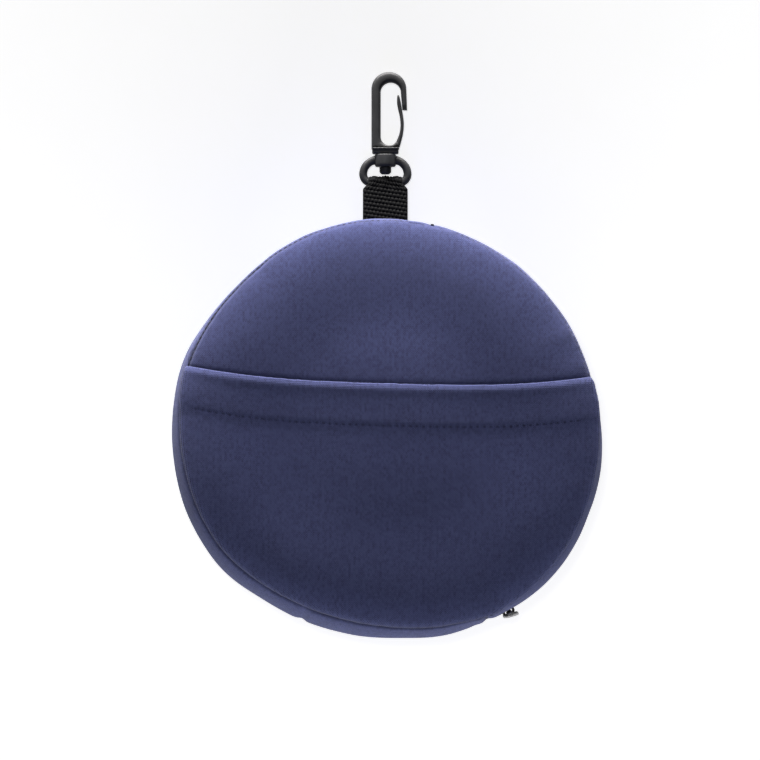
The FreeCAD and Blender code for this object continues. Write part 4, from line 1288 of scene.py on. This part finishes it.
def webbing_line(reach, ply, rows):
    """The doubled webbing's middle line, from the seam round the bar and back, and its outward normals."""
    wrap = 2.25 * MM + 0.2 * MM + ply / 2
    lean = math.degrees(math.asin((wrap - ply * 0.55) / reach))
    bend = arc((reach, 0.0), wrap, -90 + lean, 90 - lean, 40).tolist()
    line = resample([(-1.2 * MM, -ply * 0.55), *bend, (-1.2 * MM, ply * 0.55)], rows)
    tangent = np.gradient(line, axis=0)
    tangent /= np.linalg.norm(tangent, axis=1, keepdims=True)
    return line, np.stack([tangent[:, 1], -tangent[:, 0]], axis=-1)


def woven_relief(t, along, half):
    """Height of the weave: ribs across the webbing, each a row of knots, offset by half a knot row by row."""
    rib, knot = 2.3 * MM, 2.05 * MM
    row = np.floor(along / rib)
    ribbed = np.abs(np.sin(math.pi * along / rib)) ** 0.7
    knots = np.abs(np.sin(math.pi * (t * half / knot + 0.5 * (row % 2)))) ** 0.8
    edge = np.clip((1 - np.abs(t)) * half / (0.9 * MM), 0, 1)
    return 0.55 * MM * ribbed * (0.15 + 0.85 * knots) * (0.4 + 0.6 * edge)


def make_webbing():
    """Doubled webbing from the back seam round the ring's bar, woven in real relief."""
    root = joint_at["web_bend"]
    reach = math.hypot(BAR.y - root.y, BAR.z - root.z)
    slope = math.atan2(BAR.z - root.z, BAR.y - root.y)
    ply, half = 1.15 * MM, 12.5 * MM
    rows, columns = 300, 110
    line, outward = webbing_line(reach, ply, rows)
    places = np.concatenate([[0], np.cumsum(np.linalg.norm(np.diff(line, axis=0), axis=1))])
    t = np.linspace(-1, 1, columns)[None]
    # The webbing draws together where it passes round the bar
    away = np.abs(places - places[-1] / 2)
    narrow = smooth((9.8 * MM - away) / (4.6 * MM))[:, None]
    across = t * (half - narrow * 3.1 * MM)
    along = places[:, None] - 0.15 * t * half
    ends = smooth(places / (3 * MM)) * smooth((places[-1] - places) / (3 * MM))
    relief = woven_relief(t, along, half) * ends[:, None]
    bunch = narrow * 0.3 * MM * np.cos(t * 9.5)
    lift = ply / 2 - 0.2 * MM + relief + np.maximum(bunch, -0.15 * MM)
    lift = lift * (0.35 + 0.65 * np.sqrt(np.clip(1 - np.abs(t) ** 6, 0, 1)))
    local_y = line[:, :1] + outward[:, :1] * lift
    local_z = line[:, 1:] + outward[:, 1:] * lift
    y = root.y + local_y * math.cos(slope) - local_z * math.sin(slope)
    z = root.z + local_y * math.sin(slope) + local_z * math.cos(slope)
    outer = np.stack([BAR.x + across, y, z], axis=-1)
    thick = lift + ply / 2 - 0.1 * MM
    uv = np.stack([np.broadcast_to(t * half, across.shape), along], axis=-1)
    if grid_normals(outer)[rows // 2, columns // 2, 1] < 0:
        outer, thick, uv = outer[::-1], thick[::-1], uv[::-1]
    shell = cloth_shell(outer, thick, uv, roll=2)
    obj = new_object("web_loop_webbing", shell[0], shell[1], webbing, shell[2])
    place_piece(obj, None, "webbing", "web_loop")
    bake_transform(obj)


def clip_points(plane, height=0.0):
    """Points in the clip's plane, from its own X and Y."""
    plane = np.asarray(plane, float)
    return np.stack([BAR.x + plane[:, 0], BAR.y + plane[:, 1], np.full(len(plane), BAR.z + height)], axis=-1)


def lathe(profile, count=40):
    """A shape turned about the swivel axis, from (radius, y) points."""
    profile = np.asarray(profile, float)
    t = np.arange(count) * TAU / count
    rings = [
        np.stack([BAR.x + r * np.cos(t), np.full(count, BAR.y + y), BAR.z + r * np.sin(t)], axis=-1)
        for r, y in profile
    ]
    points = np.concatenate(rings)
    faces = grid_faces(len(profile), count, wrap_columns=True).tolist()
    return points, faces


def rounded_profile(corners, radius, steps=5):
    """A profile whose corners are rounded."""
    corners = np.asarray(corners, float)
    made = [corners[0]]
    for before, here, after in zip(corners, corners[1:], corners[2:]):
        a, b = before - here, after - here
        cut = min(radius, np.linalg.norm(a) / 2.2, np.linalg.norm(b) / 2.2)
        start, end = here + a / np.linalg.norm(a) * cut, here + b / np.linalg.norm(b) * cut
        for t in np.linspace(0, 1, steps):
            made.append((1 - t) ** 2 * start + 2 * t * (1 - t) * here + t**2 * end)
    made.append(corners[-1])
    return np.array(made)


def make_ring():
    """Moulded ring of round section that swells into a bored barrel."""
    radius = 2.25 * MM
    bar_half, corner, shoulder = 7.5 * MM, 4.9 * MM, 7.9 * MM
    side, top = bar_half + corner, corner + shoulder
    half = [(0.0, 0.0), (bar_half, 0.0)]
    half += arc((bar_half, corner), corner, -90, 0, 14)[1:].tolist()
    half += arc((side - shoulder, corner), shoulder, 0, 90, 18)[1:].tolist()
    half += [(0.0, top)]
    half = np.array(half)
    loop = np.concatenate([half, half[-2:0:-1] * [-1, 1]])
    loop = resample(np.concatenate([loop, loop[:1]]), 145)[:-1]
    path = clip_points(loop)
    side_way, upward = path_frame(path, (0, 0, 1), closed=True)
    near_barrel = np.exp(-(((np.abs(loop[:, 0]) - 5.0 * MM) / (1.9 * MM)) ** 2)) * (loop[:, 1] > top - 2 * MM)
    section = oval(radius, radius * 0.98, 2.25, 28)[None] * (1 + 0.16 * near_barrel)[:, None, None]
    ring = sweep(path, side_way, upward, section, closed=True)
    outer, bore = 6.0 * MM, 2.6 * MM
    low, high = 9.0 * MM, 15.9 * MM
    seam_in_bore = (bore, (low + high) / 2)
    outside = [(bore, low), (outer - 0.5 * MM, low), (outer, low + 1.2 * MM), (outer, high), (bore, high)]
    barrel = lathe(rounded_profile([seam_in_bore, *outside, seam_in_bore], 0.6 * MM), 56)
    obj = new_object("swivel_ring_moulding", *joined([ring, barrel]), clip_plastic)
    place_piece(obj, "ring", "clip_plastic", "swivel_ring")


def banded(outer, inner, depth, power, count=28):
    """A moulded limb that fills the band between two lines in the clip's plane."""
    outer, inner = np.asarray(outer, float), np.asarray(inner, float)
    middle = (outer + inner) / 2
    half = np.linalg.norm(outer - inner, axis=1) / 2
    across = (outer - inner) / (2 * half[:, None])
    across = np.stack([across[:, 0], across[:, 1], np.zeros(len(across))], axis=-1)
    depth = np.broadcast_to(depth, half.shape) / 2
    unit = oval(1, 1, power, count)[None]
    profile = np.stack([unit[..., 0] * half[:, None], unit[..., 1] * depth[:, None]], axis=-1)
    return sweep(clip_points(middle), across, (0.0, 0.0, 1.0), profile)


def hook_lines():
    """The snap hook's outer and inner edges, matched point by point from the nose round to the foot."""
    nose = 20
    outer = np.linspace((12.2, 40.7), (11.75, 52.55), nose)
    inner = np.linspace((9.5, 40.8), (8.6, 50.6), nose)
    outer = [outer, (arc((0, 0), 1.0, 0, 180, 56) * (9.775, 9.55) + (1.975, 52.55))[1:]]
    inner = [inner, (arc((0, 0), 1.0, 0, 180, 56) * (5.6, 5.5) + (3.0, 50.6))[1:]]
    outer.append(np.linspace((-7.8, 52.55), (-7.8, 24.0), 40)[1:])
    inner.append(np.linspace((-2.6, 50.6), (-2.6, 26.2), 40)[1:])
    heel, toe = np.linspace((-7.8, 24.0), (-7.8, 19.3), 9), np.linspace((-7.8, 19.3), (4.0, 19.3), 20)
    outer.append(resample(np.concatenate([heel, toe[1:], [(8.1, 20.0)]]), 36)[1:])
    foot = np.concatenate([arc((2.3, 25.9), 4.9, 180, 300, 28), [(6.2, 23.2)]])
    inner.append(resample(foot, 36)[1:])
    return np.concatenate(outer) * MM, np.concatenate(inner) * MM


def make_hook():
    """Snap hook: bow, foot, lipped collar and headed stem."""
    outer, inner = hook_lines()
    depth = np.interp(np.arange(len(outer)), [0, 5, 30, len(outer)], [4.6, 5.6, 6.2, 6.2]) * MM
    bow = banded(outer, inner, depth, 3.0, 32)
    half, deep = 7.4 * MM, 4.2 * MM
    # The collar's levels along Y and how far each is inset, in mm; its upper lip stands out
    levels = [
        (16.2, 0.7), (16.3, 0.35), (16.7, 0.05), (17.1, 0.0), (18.65, 0.0), (18.8, -0.1), (18.88, -0.36),
        (19.05, -0.4), (19.4, -0.4), (19.55, -0.3), (19.6, -0.05), (19.62, 0.6),
    ]
    path = np.array([[BAR.x, BAR.y + y * MM, BAR.z] for y, _ in levels])
    sections = np.array([oval(half - inset * MM, deep - inset * MM, 6.5, 56) for _, inset in levels])
    collar = sweep(path, (1.0, 0.0, 0.0), (0.0, 0.0, 1.0), sections)
    head = [(0.02, 4.8), (2.2, 4.8), (3.3, 6.0), (3.3, 8.7)]
    shank = [(2.5, 8.7), (2.5, 16.6), (0.02, 16.6)]
    stem = lathe(rounded_profile(np.array(head + shank) * MM, 0.3 * MM), 40)
    obj = new_object("snap_hook_moulding", *joined([bow, collar, stem]), clip_plastic)
    place_piece(obj, "hook", "clip_plastic", "hook_body")


def make_gate():
    """Sprung gate: a thin bowed tongue grown from the foot, with a wedge end inside the nose."""
    line = np.array(
        [
            (6.6, 20.4), (7.1, 22.0), (7.9, 24.2), (8.7, 26.8), (9.2, 29.6), (9.4, 32.4), (9.25, 35.2),
            (8.85, 38.0), (8.35, 40.4), (7.95, 42.6), (7.6, 44.8), (7.35, 47.0), (7.15, 49.0),
        ]
    )
    half = np.array([1.5, 1.45, 1.25, 1.08, 1.0, 0.98, 0.98, 1.0, 1.08, 1.15, 1.08, 0.85, 0.5])
    places = np.linspace(0, len(line) - 1, 90)
    weights = spline_weights(len(line), places)
    line, half = weights @ line, weights @ half
    path = clip_points(line * MM)
    side_way, upward = path_frame(path, (0, 0, 1))
    fade = np.interp(np.arange(90), [0, 8, 85, 89], [2.3, 2.3, 2.3, 1.6])
    unit = oval(1, 1, 3.2, 24)[None]
    profile = np.stack([unit[..., 0] * (half * MM)[:, None], unit[..., 1] * (fade * MM)[:, None]], axis=-1)
    obj = new_object("snap_hook_gate", *sweep(path, side_way, upward, profile), clip_plastic)
    place_piece(obj, None, "clip_plastic", "hook_gate")
    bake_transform(obj)


# ---------------------------------------------------------------- pillow inside


def make_pillow():
    """The U-shaped pillow curled up inside: a foam core in a jersey cover."""
    low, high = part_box("pillow_cover")
    hole, rim = 14 * MM, high.x
    for name, node, inset, material, slot in (
        ("pillow_cover_cloth", "pillow_cover", 0.0, lining_knit, "pouch_knit"),
        ("pillow_core_foam", "pillow_core", 1.3 * MM, foam, "foam"),
    ):
        sweep_half = math.radians(173) - inset / (20 * MM)
        turns = np.linspace(-sweep_half, sweep_half, 220) - math.pi / 2
        end = np.minimum(turns - turns[0], turns[-1] - turns) * 60 * MM
        fullness = (1 - (1 - np.clip(end / (22 * MM), 0, 1)) ** 2.4) ** (1 / 2.4)
        half_width = (rim - hole) / 2 - inset
        half_height = (high.z - low.z) / 2 - 3.5 * MM - inset
        middle_radius = (rim + hole) / 2
        path = around(turns, middle_radius, (low.z + high.z) / 2)
        out = around(turns, 1.0, 0.0)
        crumple = 1 - 0.03 * np.abs(np.sin(turns * 7 + 0.4)) - 0.01
        unit = oval(half_width, half_height, 2.3, 72)
        profile = unit[None] * (np.maximum(fullness, 0.05) * crumple)[:, None, None]
        points, faces = sweep(path, out, (0.0, 0.0, 1.0), profile)
        ring = np.concatenate([[0], np.cumsum(np.linalg.norm(np.diff(unit, axis=0), axis=1))])
        grid = np.meshgrid(ring, turns * middle_radius)
        uv = np.concatenate([np.stack(grid, axis=-1).reshape(-1, 2), np.zeros((2, 2))])
        obj = new_object(name, points, faces, material, uv)
        place_piece(obj, "pouch", slot, node)


# ---------------------------------------------------------------- studio


def make_camera():
    """The camera, nearly overhead and a little towards the lower left."""
    distance = 2.2
    view_width = 0.417  # across the frame at the pouch's widest line
    aim = Vector((-4.1 * MM, 28.4 * MM, GIRTH_Z))
    tilt_x, tilt_y = math.radians(0.6), math.radians(-1.5)
    data = bpy.data.cameras.new("camera")
    data.sensor_width = 36.0
    data.lens = data.sensor_width * distance / view_width
    data.clip_start, data.clip_end = 0.01, 20.0
    camera = bpy.data.objects.new("camera", data)
    bpy.context.scene.collection.objects.link(camera)
    back = Vector((math.tan(tilt_x), math.tan(tilt_y), 1.0)).normalized()
    camera.location = aim + back * distance
    right = Vector((0.0, 1.0, 0.0)).cross(back).normalized()
    camera.rotation_mode = "QUATERNION"
    camera.rotation_quaternion = Matrix((right, back.cross(right), back)).transposed().to_quaternion()
    bpy.context.scene.camera = camera


def area_light(name, azimuth, elevation, distance, size, power, colour=(1.0, 1.0, 1.0)):
    """A soft light of some width and height; azimuth 90 stands at +Y."""
    data = bpy.data.lights.new(name, "AREA")
    data.shape = "RECTANGLE"
    data.size, data.size_y = size
    data.energy = power
    data.color = colour
    light = bpy.data.objects.new(name, data)
    bpy.context.scene.collection.objects.link(light)
    a, e = math.radians(azimuth), math.radians(elevation)
    away = Vector((math.cos(a) * math.cos(e), math.sin(a) * math.cos(e), math.sin(e)))
    light.location = Vector((0.0, 0.0, 0.04)) + away * distance
    light.rotation_mode = "QUATERNION"
    right = Vector((0.0, 0.0, 1.0)).cross(away).normalized()
    light.rotation_quaternion = Matrix((right, away.cross(right), away)).transposed().to_quaternion()
    light.visible_camera = False
    return light


def make_studio():
    """Pale floor, soft lights and an even surround."""
    side = 6.0
    corners = [(-side, -side, 0), (side, -side, 0), (side, side, 0), (-side, side, 0)]
    floor = new_object("floor", corners, [[0, 1, 2, 3]], floor_material(), recalculate=False)
    floor.location.z = -0.3 * MM
    key = area_light("key", 95, 5.5, 1.0, (1.0, 0.24), 67, (1.0, 0.965, 0.94))
    area_light("fill", 275, 10, 1.6, (1.6, 0.5), 27)
    area_light("top", 117, 84, 2.4, (0.25, 0.25), 10)
    lit = bpy.data.collections.new("lit_by_key")
    for obj in bpy.data.objects:
        if obj.type == "MESH" and obj != floor:
            lit.objects.link(obj)
    key.light_linking.receiver_collection = lit
    world = bpy.data.worlds.new("studio")
    world.use_nodes = True
    background = world.node_tree.nodes["Background"]
    background.inputs["Color"].default_value = (1.0, 1.0, 1.0, 1.0)
    background.inputs["Strength"].default_value = 0.06
    bpy.context.scene.world = world
    bpy.context.scene.view_settings.view_transform = "Standard"


make_camera()
front_points = make_front_panel()
make_back_panel()
make_gusset()
pocket_points = make_pocket(front_points)
make_hem_stitches(pocket_points)
make_seam_threads()
make_tapes()
make_coils()
make_stops()
make_slider()
make_pull()
make_webbing()
make_ring()
make_hook()
make_gate()
make_pillow()
make_studio()
